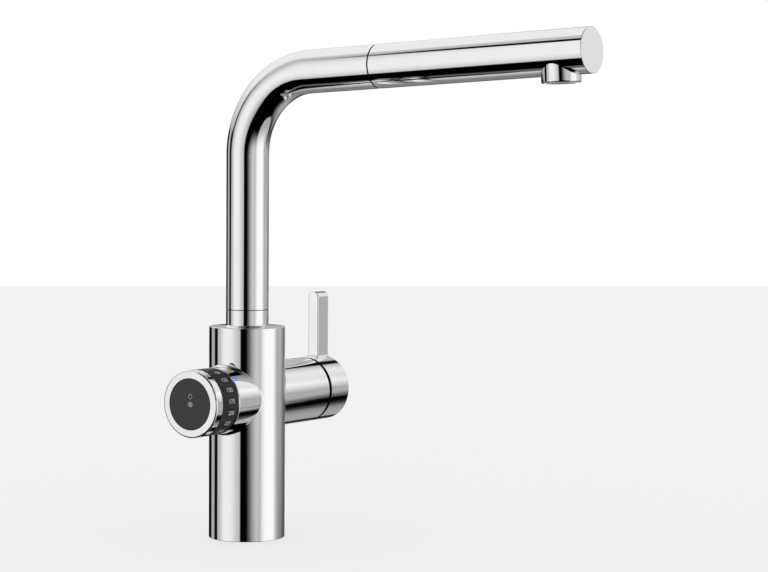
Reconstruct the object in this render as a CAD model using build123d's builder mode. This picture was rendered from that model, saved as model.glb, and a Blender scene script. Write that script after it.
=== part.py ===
from build123d import *
import os
from math import atan2, cos, degrees, radians, sin, sqrt

# A kitchen mixer tap with a swivelling spout, a pull-out head, a temperature dial and a lever valve.
# Millimetres. The origin is on the upright axis in the plane of the worktop, and +Z is up.
# The spout points along -Y, the dial is on the -X side and the lever valve on the +X side.

# Driving sizes of the body
body_radius = 25.0
body_height = 139.2
body_wall = 4.0
barrel_radius = 21.75
barrel_wall = 4.15
axis_height = 92.5
dial_barrel_end = 36.2
valve_barrel_end = 64.0
collar_rise = 10.85
rim_fillet = 0.5
foot_fillet = 0.4
seam_fillet = 2.0
barrel_chamfer = 0.6

# Driving sizes of the spout and its head
tube_radius = 14.0
tube_wall = 1.5
spout_height = 303.0
spout_rise = 2.45
bend_radius = 53.0
mouth_reach = 103.2
head_end = 255.4
head_wall = 1.75
head_end_wall = 2.0
outlet_reach = 234.0
outlet_radius = 12.0
outlet_drop = 18.5
hose_radius = 4.25
hose_bore = 2.75
swivel_range = 90.0

# Driving sizes of the dial
ring_gap = 0.8
ring_width = 16.4
rim_width = 6.4
rim_wall = 2.7
rim_fillet_front = 1.3
glass_radius = 16.4
glass_thickness = 1.6
button_travel = 0.8
light_angle = 43.0
light_width = 2.0
light_length = 4.1

# Driving sizes of the valve and its lever
cap_gap = 2.3
cap_length = 20.0
cap_wall = 1.4
cap_end_wall = 4.3
cap_fillet = 0.5
lever_rise = 66.4
lever_width = 8.2
lever_depth = 12.2
lever_fillet = 0.6
pivot_back = 13.5
stem_size = 6.8
mark_width = 1.6
mark_length = 4.15
mark_centre = 2.3

# Driving sizes at the worktop and below it
worktop_thickness = 40.0
shank_radius = 16.5
shank_wall = 2.5
shank_length = 75.0
nut_size = 41.0
nut_height = 10.0
washer_radius = 26.0
rubber_thickness = 3.0
steel_thickness = 2.0
inlet_radius = 4.0
inlet_circle = 9.7
riser_radius = 2.5
riser_pitch = 9.0
riser_x = 14.0

# Clearances: a running fit turns or slides, a seated fit stays put, a seam shows as a fine line
running = 0.05
seated = 0.05
seam = 0.2


# Planes that the pieces are built on
def up(z):
    return Plane.XY.offset(z)


def dial_side(out):
    return Plane(origin=(-out, 0, axis_height), x_dir=(0, -1, 0), z_dir=(-1, 0, 0))


def valve_side(x):
    return Plane(origin=(x, 0, axis_height), x_dir=(0, 1, 0), z_dir=(1, 0, 0))


rise = radians(spout_rise)
arm_direction = Vector(0, -cos(rise), sin(rise))
arm_down = Vector(0, -sin(rise), -cos(rise))
arm_start = Vector(0, 0, spout_height)


def arm_point(reach, depth=0.0):
    return arm_start + arm_direction * reach + arm_down * depth


def along_arm(reach):
    return Plane(origin=arm_point(reach), x_dir=(1, 0, 0), z_dir=arm_direction)


def below_arm(depth):
    return Plane(origin=arm_point(outlet_reach, depth), x_dir=(1, 0, 0), z_dir=arm_down)


valve_section = Plane(origin=(0, 0, axis_height), x_dir=(1, 0, 0), z_dir=(0, -1, 0))
valve_axis = Axis((0, 0, axis_height), (1, 0, 0))


# Faces that the pieces are extruded from
def disc(plane, radius):
    with BuildSketch(plane) as profile:
        Circle(radius)
    return profile.sketch


def ring(plane, outer, inner):
    with BuildSketch(plane) as profile:
        Circle(outer)
        Circle(inner, mode=Mode.SUBTRACT)
    return profile.sketch


def open_ring(plane, outer, inner, gap):
    with BuildSketch(plane) as profile:
        Circle(outer)
        Circle(inner, mode=Mode.SUBTRACT)
        with Locations((outer, 0)):
            Rectangle(2 * outer, gap, mode=Mode.SUBTRACT)
    return profile.sketch


def discs(plane, points, radius):
    with BuildSketch(plane) as profile:
        with Locations(*points):
            Circle(radius)
    return profile.sketch


def rings(plane, points, outer, inner):
    with BuildSketch(plane) as profile:
        with Locations(*points):
            Circle(outer)
        with Locations(*points):
            Circle(inner, mode=Mode.SUBTRACT)
    return profile.sketch


def bar(plane, width, height):
    with BuildSketch(plane) as profile:
        Rectangle(width, height)
    return profile.sketch


def around(count, radius, first_angle=0.0):
    step = radians(360 / count)
    first = radians(first_angle)
    return [(radius * cos(first + k * step), radius * sin(first + k * step)) for k in range(count)]


# The round edges of one radius that lie at one distance along a direction
def round_edges(builder, direction, place, radius):
    found = builder.edges().filter_by(GeomType.CIRCLE)
    found = found.filter_by(lambda edge: abs(edge.arc_center.dot(direction) - place) < 0.01)
    return found.filter_by(lambda edge: abs(edge.radius - radius) < 0.01)


# Sizes that several pieces share
block_gap = 2.75
stem_wall = 3.0
stem_step = 1.5
seal_room = 1.0
seal_inset = 0.8
seal_rim = 1.2
body_bore = body_radius - body_wall
barrel_bore = barrel_radius - barrel_wall
insert_radius = barrel_bore - 2 * seated
block_floor = axis_height + barrel_radius + block_gap
collar_top = body_height + collar_rise
thrust_height = 0.5
tube_foot = collar_top + thrust_height
tube_bore = tube_radius - tube_wall
stem_radius = tube_bore - stem_step
stem_bore = stem_radius - stem_wall
bush_radius = tube_bore - seated
collar_bore = stem_radius + seal_room
seal_height = 1.5
seal_inner = body_bore + seal_inset
seal_outer = body_radius - seal_rim
shank_bore = shank_radius - shank_wall
shank_socket = 6.0
plate_floor = 2.0
plate_top = 22.0
inlet_depth = 10.0

# The light bar lies on the dial barrel, open at the barrel's end face
light = radians(light_angle)
light_step = 1.0
light_inner = barrel_bore - light_step
light_plane = Plane(
    origin=(0, 0, axis_height), x_dir=(-1, 0, 0), z_dir=(0, -cos(light), sin(light))
).offset(light_inner)
light_reach = barrel_radius - light_inner + light_step


def light_shape(margin):
    end_radius = light_width / 2
    start = dial_barrel_end - light_length + end_radius
    with BuildSketch(light_plane) as profile:
        with Locations(((start + dial_barrel_end) / 2, 0)):
            Rectangle(dial_barrel_end - start, light_width + 2 * margin)
        with Locations((start, 0)):
            Circle(end_radius + margin)
    return profile.sketch


# The cold mark and the hot mark lie on top of the valve barrel
mark_depth = 1.05
mark_setback = 2.5
mark_floor = barrel_radius - mark_depth
mark_x = valve_barrel_end - mark_setback


def mark_shape(side, floor, margin):
    centre = (mark_x, side * mark_centre, axis_height + floor)
    plane = Plane(origin=centre, x_dir=(1, 0, 0), z_dir=(0, 0, 1))
    return bar(plane, mark_width + 2 * margin, mark_length + 2 * margin)


# Body casting: an upright cylinder with a barrel on each side, hollow below its top block
with BuildPart() as body_shell:
    extrude(disc(up(0), body_radius), amount=body_height)
    extrude(disc(valve_side(0), barrel_radius), amount=valve_barrel_end)
    extrude(disc(dial_side(0), barrel_radius), amount=dial_barrel_end)
    plain = (GeomType.CIRCLE, GeomType.LINE)
    fillet(body_shell.edges().filter_by(lambda edge: edge.geom_type not in plain), seam_fillet)
    fillet(round_edges(body_shell, Vector(0, 0, 1), body_height, body_radius), rim_fillet)
    fillet(round_edges(body_shell, Vector(0, 0, 1), 0, body_radius), foot_fillet)
    chamfer(round_edges(body_shell, Vector(1, 0, 0), valve_barrel_end, barrel_radius), barrel_chamfer)
    chamfer(round_edges(body_shell, Vector(-1, 0, 0), dial_barrel_end, barrel_radius), barrel_chamfer)
    extrude(disc(up(0), body_bore), amount=block_floor, mode=Mode.SUBTRACT)
    extrude(disc(up(block_floor), tube_radius + seated), amount=body_height, mode=Mode.SUBTRACT)
    extrude(disc(valve_side(0), barrel_bore), amount=valve_barrel_end, mode=Mode.SUBTRACT)
    extrude(disc(dial_side(0), barrel_bore), amount=dial_barrel_end, mode=Mode.SUBTRACT)
    extrude(ring(up(0), seal_outer, seal_inner), amount=seal_height, mode=Mode.SUBTRACT)
    extrude(light_shape(seated), amount=light_reach, mode=Mode.SUBTRACT)
    for side in (-1, 1):
        extrude(mark_shape(side, mark_floor - seated, seated), amount=barrel_radius, mode=Mode.SUBTRACT)

with BuildPart() as led_window:
    extrude(light_shape(0), amount=light_reach)
    extrude(disc(dial_side(0), barrel_radius), amount=dial_barrel_end, mode=Mode.INTERSECT)

with BuildPart() as cold_mark:
    extrude(mark_shape(1, mark_floor, 0), amount=barrel_radius)
    extrude(disc(valve_side(0), barrel_radius), amount=valve_barrel_end, mode=Mode.INTERSECT)

with BuildPart() as hot_mark:
    extrude(mark_shape(-1, mark_floor, 0), amount=barrel_radius)
    extrude(disc(valve_side(0), barrel_radius), amount=valve_barrel_end, mode=Mode.INTERSECT)

with BuildPart() as base_seal:
    extrude(ring(up(0), seal_outer - seated, seal_inner + seated), amount=seal_height - seated)

# Base plate: a socket for the shank, three threaded inlets that open into it, and three risers.
# The middle inlet meets its riser, and a cross drilling joins each of the others to its own.
inlets = [(0, -inlet_circle), (inlet_circle, 0), (0, inlet_circle)]
risers = [(riser_x, -riser_pitch), (riser_x, 0), (riser_x, riser_pitch)]
inlet_floor = plate_floor + shank_socket
inlet_top = inlet_floor + inlet_depth
hose_room = 0.5
hose_passage = hose_radius + hose_room
drilling_radius = riser_radius - 0.75
drilling_depth = 4.0
shank_chamfer = 1.0
rubber_room = 0.5
steel_room = 0.2

with BuildPart() as base_plate:
    extrude(disc(up(plate_floor), body_bore - seated), amount=plate_top - plate_floor)
    extrude(disc(up(plate_floor), shank_radius + seated), amount=shank_socket, mode=Mode.SUBTRACT)
    extrude(disc(up(plate_floor), hose_passage), amount=plate_top, mode=Mode.SUBTRACT)
    extrude(discs(up(inlet_floor), inlets, inlet_radius), amount=inlet_depth, mode=Mode.SUBTRACT)
    extrude(discs(up(inlet_top), risers, riser_radius + seated), amount=plate_top, mode=Mode.SUBTRACT)
    bottoms = discs(up(inlet_top - drilling_depth), risers, drilling_radius)
    extrude(bottoms, amount=drilling_depth, mode=Mode.SUBTRACT)
    for side in (-1, 1):
        middle = side * (inlet_circle + riser_pitch) / 2
        drilling_height = inlet_top - drilling_depth / 2
        start = Plane(origin=(0, middle, drilling_height), x_dir=(0, 1, 0), z_dir=(1, 0, 0))
        extrude(disc(start, drilling_radius), amount=riser_x, mode=Mode.SUBTRACT)

with BuildPart() as shank:
    extrude(ring(up(-shank_length), shank_radius, shank_bore), amount=shank_length + inlet_floor)
    chamfer(round_edges(shank, Vector(0, 0, 1), -shank_length, shank_radius), shank_chamfer)

rubber_floor = -worktop_thickness - rubber_thickness
steel_floor = rubber_floor - steel_thickness

with BuildPart() as rubber_washer:
    extrude(ring(up(rubber_floor), washer_radius, shank_radius + rubber_room), amount=rubber_thickness)

with BuildPart() as steel_washer:
    extrude(ring(up(steel_floor), washer_radius, shank_radius + steel_room), amount=steel_thickness)

with BuildPart() as fixing_nut:
    with BuildSketch(up(steel_floor - nut_height)):
        RegularPolygon(nut_size / 2, 6, major_radius=False)
        Circle(shank_radius + seated, mode=Mode.SUBTRACT)
    extrude(amount=nut_height)

# Swivel: the spout's stem turns in a collar with two slide bushes and two O-rings
bush_inset = 0.5
bush_lip = 1.25
pin_radius = 1.5
pin_depth = 1.2
pin_inner = stem_radius - pin_depth
slot_room = 0.3
slot_height_half = pin_radius + slot_room
seal_radius = 0.95
seal_groove = 2.4
seal_depth = 1.0
bush_share = 0.3
spacing_share = 0.1
fixed_length = bush_inset + 2 * slot_height_half + 2 * seal_groove + bush_lip
spare_length = collar_top - block_floor - fixed_length
bush_length = spare_length * bush_share
spacing = spare_length * spacing_share
pin_height = block_floor + bush_inset + bush_length + spacing + slot_height_half
lower_seal_height = pin_height + slot_height_half + spacing + seal_groove / 2
seal_heights = [lower_seal_height, lower_seal_height + seal_groove + spacing]
upper_seat_floor = collar_top - bush_length - bush_lip
slot_margin = degrees(atan2(pin_radius, pin_inner)) + 1.0
slot_sweep = 2 * (swivel_range + slot_margin)
slot_depth = 1.7
clip_thickness = 1.2
clip_height = block_floor - clip_thickness - 0.2
clip_depth = 1.05
clip_lip = 0.5
clip_mouth = 6.0
stem_below = 3.5
stem_flange = 21.0

with BuildPart() as swivel_collar:
    extrude(ring(up(block_floor), tube_radius, collar_bore), amount=collar_top - block_floor)
    extrude(disc(up(block_floor), tube_bore), amount=bush_length + bush_inset, mode=Mode.SUBTRACT)
    extrude(disc(up(upper_seat_floor), tube_bore), amount=collar_top, mode=Mode.SUBTRACT)
    pin_plane = Plane(origin=(0, 0, pin_height), x_dir=(1, 0, 0), z_dir=(0, 1, 0))
    extrude(disc(pin_plane, pin_radius + seated), amount=body_radius, mode=Mode.SUBTRACT)

with BuildPart() as stop_pin:
    extrude(disc(pin_plane.offset(pin_inner), pin_radius), amount=tube_radius - 0.1 - pin_inner)

with BuildPart() as lower_bush:
    extrude(ring(up(block_floor + bush_inset), bush_radius, stem_radius + running), amount=bush_length)

with BuildPart() as upper_bush:
    extrude(ring(up(upper_seat_floor), bush_radius, stem_radius + running), amount=bush_length)

with BuildPart() as swivel_washer:
    extrude(ring(up(collar_top), tube_radius - 0.3, stem_radius + 0.1), amount=thrust_height)

with BuildPart() as spout_stem:
    extrude(disc(up(block_floor - stem_below), stem_radius), amount=tube_foot - block_floor + stem_below)
    extrude(disc(up(tube_foot), tube_bore - seated), amount=stem_flange)
    for height in seal_heights:
        groove = ring(up(height - seal_groove / 2), stem_radius, stem_radius - seal_depth)
        extrude(groove, amount=seal_groove, mode=Mode.SUBTRACT)
    clip_slot = ring(up(clip_height - running), stem_radius, stem_radius - clip_depth)
    extrude(clip_slot, amount=clip_thickness + 2 * running, mode=Mode.SUBTRACT)
    slot_start = Plane.XZ.rotated((0, 0, 90 - slot_sweep / 2))
    with BuildSketch(slot_start):
        with Locations((stem_radius, pin_height)):
            Rectangle(2 * slot_depth, 2 * slot_height_half)
    revolve(axis=Axis.Z, revolution_arc=slot_sweep, mode=Mode.SUBTRACT)
    extrude(disc(up(0), stem_bore), amount=spout_height, mode=Mode.SUBTRACT)

with BuildPart() as stem_o_rings:
    for height in seal_heights:
        with BuildSketch(Plane.XZ):
            with Locations((stem_radius + seated, height)):
                Circle(seal_radius - seated)
        revolve(axis=Axis.Z)

with BuildPart() as stem_clip:
    groove_floor = stem_radius - clip_depth
    clip_face = open_ring(up(clip_height), tube_bore + clip_lip, groove_floor + seated, clip_mouth)
    extrude(clip_face, amount=clip_thickness)

# Spout tube: upright, one wide bend, and an arm that rises a little
with BuildPart() as spout_tube:
    with BuildLine() as tube_path:
        FilletPolyline((0, 0, tube_foot), arm_start, arm_point(mouth_reach), radius=bend_radius)
    with BuildSketch(up(tube_foot)):
        Circle(tube_radius)
        Circle(tube_bore, mode=Mode.SUBTRACT)
    sweep(path=tube_path.line)

# Mouth guide: a sleeve in the arm's end that the head's neck slides in, with a thin dark flange
guide_length = 19.2
guide_wall = 2.5
flange_thickness = 1.0
flange_inset = 0.4
head_gap = 0.1
neck_inset = 2.0
neck_radius = tube_bore - guide_wall
head_start = mouth_reach + flange_thickness + head_gap
neck_start = mouth_reach - guide_length + neck_inset
hose_end = mouth_reach - guide_length

with BuildPart() as mouth_guide:
    extrude(disc(along_arm(hose_end), bush_radius), amount=guide_length)
    extrude(disc(along_arm(mouth_reach), tube_radius - flange_inset), amount=flange_thickness)
    extrude(disc(along_arm(hose_end), neck_radius + running), amount=spout_height, mode=Mode.SUBTRACT)

# Spray hose: up the shank and the tube, round the bend to the head
hose_foot = -shank_length
tail_wall = 0.6
tail_radius = hose_radius + seated + tail_wall
tail_length = 15.0
tail_grip = 5.0
with BuildPart() as spray_hose:
    with BuildLine() as hose_path:
        FilletPolyline((0, 0, hose_foot), arm_start, arm_point(hose_end), radius=bend_radius)
    with BuildSketch(up(hose_foot)):
        Circle(hose_radius)
        Circle(hose_bore, mode=Mode.SUBTRACT)
    sweep(path=hose_path.line)

with BuildPart() as hose_tail:
    extrude(ring(up(hose_foot - tail_length), tail_radius, hose_bore), amount=tail_length)
    extrude(ring(up(hose_foot), tail_radius, hose_radius + seated), amount=tail_grip)

# Pull-out head: shell, neck, ferrule, check valve and the tube to the outlet
shell_bore = tube_radius - head_wall
core_radius = shell_bore - seated
core_before = 6.0
core_gap = 0.9
core_start = outlet_reach - outlet_radius - core_before
core_end = head_end - head_end_wall - core_gap
neck_length = 7.7
neck_end = head_start + neck_length
ferrule_radius = hose_radius + 1.75
ferrule_gap = 0.3
ferrule_depth = 14.0
valve_radius = hose_radius + 0.75
valve_bore = 2.0
valve_length = 7.8
end_fillet = 0.4
pipe_grip = 6.0
pipe_radius = 5.0
pipe_bore = 3.5

with BuildPart() as head_shell:
    extrude(disc(along_arm(head_start), tube_radius), amount=head_end - head_start)
    fillet(head_shell.faces().sort_by(Axis((0, 0, spout_height), arm_direction))[-1].edges(), end_fillet)
    shell_depth = head_end - head_end_wall - head_start
    extrude(disc(along_arm(head_start), shell_bore), amount=shell_depth, mode=Mode.SUBTRACT)
    extrude(disc(below_arm(0), outlet_radius + seated), amount=2 * tube_radius, mode=Mode.SUBTRACT)

with BuildPart() as head_neck:
    extrude(disc(along_arm(neck_start), neck_radius), amount=head_start - neck_start)
    extrude(disc(along_arm(head_start), core_radius), amount=neck_end - head_start)
    extrude(disc(along_arm(neck_start), ferrule_radius + seated), amount=ferrule_depth, mode=Mode.SUBTRACT)
    extrude(disc(along_arm(neck_start), valve_radius + seated), amount=head_end, mode=Mode.SUBTRACT)

with BuildPart() as hose_ferrule:
    ferrule_length = neck_inset + ferrule_depth - ferrule_gap
    extrude(ring(along_arm(hose_end + ferrule_gap), ferrule_radius, hose_bore), amount=ferrule_length)

with BuildPart() as check_valve:
    valve_start = along_arm(neck_start + ferrule_depth + seam)
    extrude(ring(valve_start, valve_radius, valve_bore), amount=valve_length)

with BuildPart() as flow_tube:
    pipe = ring(along_arm(neck_end), pipe_radius, pipe_bore)
    extrude(pipe, amount=core_start + pipe_grip - neck_end)

# Outlet: a solid core in the shell, with the outlet housing hanging below it
housing_top = 5.0
neck_top = 1.5
nozzle_step = 1.6
chamber_wall = 2.8
nozzle_radius = outlet_radius - nozzle_step
chamber_radius = outlet_radius - chamber_wall
chamber_top = 8.0
seal_thickness = 1.4
insert_play = 0.1
insert_top = chamber_top + seal_thickness + insert_play
insert_lip = 0.6
lip = 0.5
insert_bottom = outlet_drop - insert_lip
housing_fillet = 1.2
mesh_pitch = 2.6
mesh_hole = 1.8

with BuildPart() as outlet_core:
    extrude(disc(along_arm(core_start), core_radius), amount=core_end - core_start)
    extrude(disc(along_arm(core_start), pipe_radius + seated), amount=pipe_grip, mode=Mode.SUBTRACT)
    extrude(disc(along_arm(core_start), pipe_bore), amount=outlet_reach - core_start, mode=Mode.SUBTRACT)
    extrude(disc(below_arm(0), pipe_bore), amount=tube_radius, mode=Mode.SUBTRACT)
    nozzle_hole = disc(below_arm(neck_top - seated), nozzle_radius + seated)
    extrude(nozzle_hole, amount=tube_radius, mode=Mode.SUBTRACT)
    housing_hole = disc(below_arm(housing_top - seated), outlet_radius + seated)
    extrude(housing_hole, amount=tube_radius, mode=Mode.SUBTRACT)

with BuildPart() as aerator_housing:
    extrude(disc(below_arm(housing_top), outlet_radius), amount=outlet_drop - housing_top)
    lowest = aerator_housing.faces().sort_by(Axis(arm_start, arm_down))[-1]
    fillet(lowest.edges(), housing_fillet)
    extrude(disc(below_arm(neck_top), nozzle_radius), amount=housing_top - neck_top)
    extrude(disc(below_arm(neck_top), pipe_radius), amount=outlet_drop, mode=Mode.SUBTRACT)
    extrude(disc(below_arm(chamber_top), chamber_radius), amount=outlet_drop, mode=Mode.SUBTRACT)

with BuildPart() as aerator_insert:
    extrude(disc(below_arm(insert_top), chamber_radius - insert_play), amount=insert_bottom - insert_top)
    with BuildSketch(below_arm(insert_top)):
        with GridLocations(mesh_pitch, mesh_pitch, 5, 5):
            Rectangle(mesh_hole, mesh_hole)
    extrude(amount=outlet_drop, mode=Mode.SUBTRACT)

with BuildPart() as aerator_seal:
    seal_face = ring(below_arm(chamber_top), chamber_radius - insert_play, pipe_radius + lip)
    extrude(seal_face, amount=seal_thickness)

# Dial: hollow spindle with the push switch, control board and spring; the hub and ring turn on it
ring_start = dial_barrel_end + ring_gap
ring_end = ring_start + ring_width
rim_start = ring_end + seam
rim_end = rim_start + rim_width
hub_radius = barrel_radius - rim_wall
ring_inset = 0.1
glass_gap = 0.3
glass_chamfer = 0.2
rim_lip = 2.0
hub_end = rim_end - rim_lip - 2 * seated
flange_room = light_length + 0.1
spindle_flange = 4.0
spindle_back = dial_barrel_end - flange_room - spindle_flange
spindle_floor = spindle_back + spindle_flange / 2
spindle_radius = 10.0
spindle_bore = 8.05
carrier_thickness = 0.8
carrier_front = rim_end - glass_thickness
carrier_back = carrier_front - carrier_thickness
spindle_end = carrier_back - button_travel - seam
ring_clip_thickness = 0.9
ring_clip_depth = 0.85
clip_start = spindle_end - 0.65 - ring_clip_thickness
hub_floor = clip_start - seated
plunger_stroke = 12.0
plunger_back = spindle_floor + plunger_stroke
plunger_radius = spindle_bore - running
board_thickness = 1.6
board_play = 0.1
switch_height = 5.5
switch_radius = 3.0
switch_top = spindle_floor + switch_height
nose_radius = 2.2
nose_play = 0.1

with BuildPart() as dial_spindle:
    extrude(disc(dial_side(spindle_back), insert_radius), amount=spindle_flange)
    extrude(disc(dial_side(spindle_back), spindle_radius), amount=spindle_end - spindle_back)
    extrude(disc(dial_side(spindle_floor), spindle_bore), amount=rim_end, mode=Mode.SUBTRACT)
    clip_groove = ring(dial_side(hub_floor), spindle_radius, spindle_radius - ring_clip_depth)
    extrude(clip_groove, amount=ring_clip_thickness + 2 * seated, mode=Mode.SUBTRACT)

with BuildPart() as control_board:
    board_plane = dial_side(spindle_back + spindle_flange)
    board_face = ring(board_plane, light_inner - board_play, spindle_radius + board_play)
    extrude(board_face, amount=board_thickness)

with BuildPart() as push_switch:
    extrude(disc(dial_side(spindle_floor), switch_radius), amount=switch_height)

spring_wire = 0.5
spring_radius = 5.5
spring_turns = 6
spring_space = plunger_back - spindle_floor - 2 * (spring_wire + running)

with BuildPart() as button_spring:
    spring_start = spindle_floor + spring_wire + running
    with BuildLine() as coil:
        Helix(
            pitch=spring_space / spring_turns,
            height=spring_space,
            radius=spring_radius,
            center=(-spring_start, 0, axis_height),
            direction=(-1, 0, 0),
        )
    with BuildSketch(Plane(origin=coil.line @ 0, z_dir=coil.line % 0)):
        Circle(spring_wire)
    sweep(path=coil.line, is_frenet=True)

ring_clip_mouth = 8.0
ring_clip_lip = 2.5

with BuildPart() as dial_clip:
    clip_inner = spindle_radius - ring_clip_depth + seated
    clip_outer = spindle_radius + ring_clip_lip
    clip_ring = open_ring(dial_side(clip_start), clip_outer, clip_inner, ring_clip_mouth)
    extrude(clip_ring, amount=ring_clip_thickness)

with BuildPart() as number_ring:
    extrude(ring(dial_side(ring_start), barrel_radius - ring_inset, hub_radius + seated), amount=ring_width)

with BuildPart() as knob_rim:
    extrude(disc(dial_side(rim_start), barrel_radius), amount=rim_width)
    fillet(round_edges(knob_rim, Vector(-1, 0, 0), rim_end, barrel_radius), rim_fillet_front)
    extrude(disc(dial_side(rim_start), hub_radius + seated), amount=rim_width - rim_lip, mode=Mode.SUBTRACT)
    extrude(disc(dial_side(rim_start), glass_radius + glass_gap), amount=rim_width, mode=Mode.SUBTRACT)

magnet_outer = 16.0
magnet_inner = 13.0
magnet_depth = 3.0

with BuildPart() as knob_hub:
    extrude(disc(dial_side(ring_start), hub_radius), amount=hub_end - ring_start)
    extrude(disc(dial_side(ring_start), spindle_radius + running), amount=rim_end, mode=Mode.SUBTRACT)
    extrude(disc(dial_side(hub_floor), glass_radius + glass_gap), amount=rim_end, mode=Mode.SUBTRACT)
    magnet_groove = ring(dial_side(ring_start), magnet_outer + seated, magnet_inner - seated)
    extrude(magnet_groove, amount=magnet_depth + seated, mode=Mode.SUBTRACT)

with BuildPart() as magnet_ring:
    extrude(ring(dial_side(ring_start), magnet_outer, magnet_inner), amount=magnet_depth)

# Button: the dark glass disc on a carrier whose plunger slides in the spindle
with BuildPart() as button_glass:
    extrude(disc(dial_side(carrier_front), glass_radius), amount=glass_thickness)
    chamfer(round_edges(button_glass, Vector(-1, 0, 0), rim_end, glass_radius), glass_chamfer)

with BuildPart() as button_carrier:
    extrude(disc(dial_side(carrier_back), glass_radius - 2 * glass_gap), amount=carrier_thickness)
    extrude(disc(dial_side(plunger_back), plunger_radius), amount=carrier_back - plunger_back)
    nose_back = switch_top + button_travel + nose_play
    extrude(disc(dial_side(nose_back), nose_radius), amount=plunger_back - nose_back)

# Valve: seat block fed by the risers, port seals, cartridge, and the nut that holds it
seat_start = 8.0
seat_end = 27.8
socket_step = 0.5
riser_wall = 0.6
port_circle = 8.0
port_radius = 3.0
ports = around(3, port_circle, -90.0)
port_seal_depth = 0.8
port_seal_width = 1.4
port_seal_play = 0.1
cartridge_wall = 3.9
cartridge_floor = 2.2
cartridge_front = seat_end + cartridge_floor
pivot_x = valve_barrel_end - pivot_back
cavity_radius = insert_radius - cartridge_wall
nut_length = 7.0
nut_end = pivot_x + nut_length / 2
cartridge_end = nut_end - nut_length
rotor_shoulder = 1.2
rotor_neck = cavity_radius - rotor_shoulder
rotor_proud = 0.5
fixed_thickness = 3.5
moving_thickness = 3.25
moving_inset = 2.1
disc_play = 0.1
pocket_depth = 1.6
moving_start = cartridge_front + fixed_thickness + running
rotor_start = moving_start + moving_thickness + disc_play
flange_end = rotor_start + 4.1
slot_width = stem_size + 0.4
slot_height = 12.4

with BuildPart() as valve_seat:
    extrude(disc(valve_side(seat_start), insert_radius), amount=seat_end - seat_start)
    extrude(discs(valve_side(riser_x), ports, port_radius), amount=seat_end, mode=Mode.SUBTRACT)
    seal_plane = valve_side(seat_end - port_seal_depth)
    seal_pocket = port_radius + port_seal_width + port_seal_play
    extrude(discs(seal_plane, ports, seal_pocket), amount=port_seal_depth, mode=Mode.SUBTRACT)
    socket_top = axis_height - port_circle - socket_step
    extrude(discs(up(0), risers, riser_radius + seated), amount=socket_top, mode=Mode.SUBTRACT)
    outer_risers = [risers[0], risers[2]]
    drilling_top = axis_height + port_circle / 2
    extrude(discs(up(0), outer_risers, drilling_radius), amount=drilling_top, mode=Mode.SUBTRACT)

with BuildPart() as seat_seals:
    seal_faces = rings(seal_plane, ports, port_radius + port_seal_width, port_radius + port_seal_play)
    extrude(seal_faces, amount=port_seal_depth)


# Three risers of the same make, in the order hot, cold and mixed
def riser(place):
    with BuildPart() as tube:
        extrude(rings(up(inlet_top), [place], riser_radius, riser_radius - riser_wall), amount=riser_length)
    return tube


riser_length = socket_top - socket_step - inlet_top
riser_hot = riser(risers[0])
riser_mixed = riser(risers[1])
riser_cold = riser(risers[2])

with BuildPart() as cartridge_body:
    extrude(disc(valve_side(seat_end), insert_radius - seated), amount=cartridge_end - seat_end)
    extrude(disc(valve_side(cartridge_front), cavity_radius), amount=cartridge_end, mode=Mode.SUBTRACT)
    extrude(discs(valve_side(seat_end), ports, port_radius), amount=cartridge_end, mode=Mode.SUBTRACT)

with BuildPart() as fixed_disc:
    extrude(disc(valve_side(cartridge_front), cavity_radius - disc_play), amount=fixed_thickness)
    port_holes = discs(valve_side(cartridge_front), ports, port_radius)
    extrude(port_holes, amount=fixed_thickness, mode=Mode.SUBTRACT)

with BuildPart() as cartridge_nut:
    nut_ring = ring(valve_side(cartridge_end), insert_radius, rotor_neck + running)
    extrude(nut_ring, amount=nut_end - cartridge_end)

# Rotor and its disc turn for temperature; the pivot pin through the rotor carries the lever stem
with BuildPart() as moving_disc:
    extrude(disc(valve_side(moving_start), cavity_radius - moving_inset), amount=moving_thickness)
    with BuildSketch(valve_side(moving_start)):
        SlotCenterToCenter(port_circle, 2 * port_radius)
    extrude(amount=pocket_depth, mode=Mode.SUBTRACT)

pivot_radius = 1.5
pivot_inset = 1.4
pin_reach = rotor_neck - pivot_inset
tail_back = 5.0
slot_floor = pivot_x - sqrt(tail_back**2 + (stem_size / 2) ** 2) - 2 * running
rotor_plane = Plane(origin=(pivot_x, 0, axis_height), x_dir=(1, 0, 0), z_dir=(0, 1, 0))

with BuildPart() as cartridge_rotor:
    extrude(disc(valve_side(rotor_start), cavity_radius - running), amount=flange_end - rotor_start)
    extrude(disc(valve_side(flange_end), rotor_neck), amount=nut_end + rotor_proud - flange_end)
    stem_slot = bar(valve_side(slot_floor), slot_width, slot_height)
    extrude(stem_slot, amount=valve_barrel_end, mode=Mode.SUBTRACT)
    pivot_hole = disc(rotor_plane, pivot_radius + seated)
    extrude(pivot_hole, amount=pin_reach + seated, both=True, mode=Mode.SUBTRACT)

with BuildPart() as pivot_pin:
    extrude(disc(rotor_plane, pivot_radius), amount=pin_reach, both=True)

# Black dome around the pivot that closes the barrel behind the cap at every tilt
dome_edge = barrel_radius - barrel_chamfer + seated
dome_radius = sqrt(pivot_back**2 + dome_edge**2)
dome_wall = 1.5
dome_opening = radians(33.0)
dome_inner = dome_radius - dome_wall
dome_flange = 1.2
spigot_length = 6.0
spigot_outer = barrel_bore - 2 * seated
spigot_inner = spigot_outer - dome_wall
dome_middle = (atan2(dome_edge, pivot_back) + dome_opening) / 2


def dome_point(radius, angle):
    return (pivot_x + radius * cos(angle), radius * sin(angle))


inner_start_x = valve_barrel_end + dome_flange
inner_start_radius = sqrt(dome_inner**2 - (pivot_back + dome_flange) ** 2)
inner_middle = (atan2(inner_start_radius, pivot_back + dome_flange) + dome_opening) / 2

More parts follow.
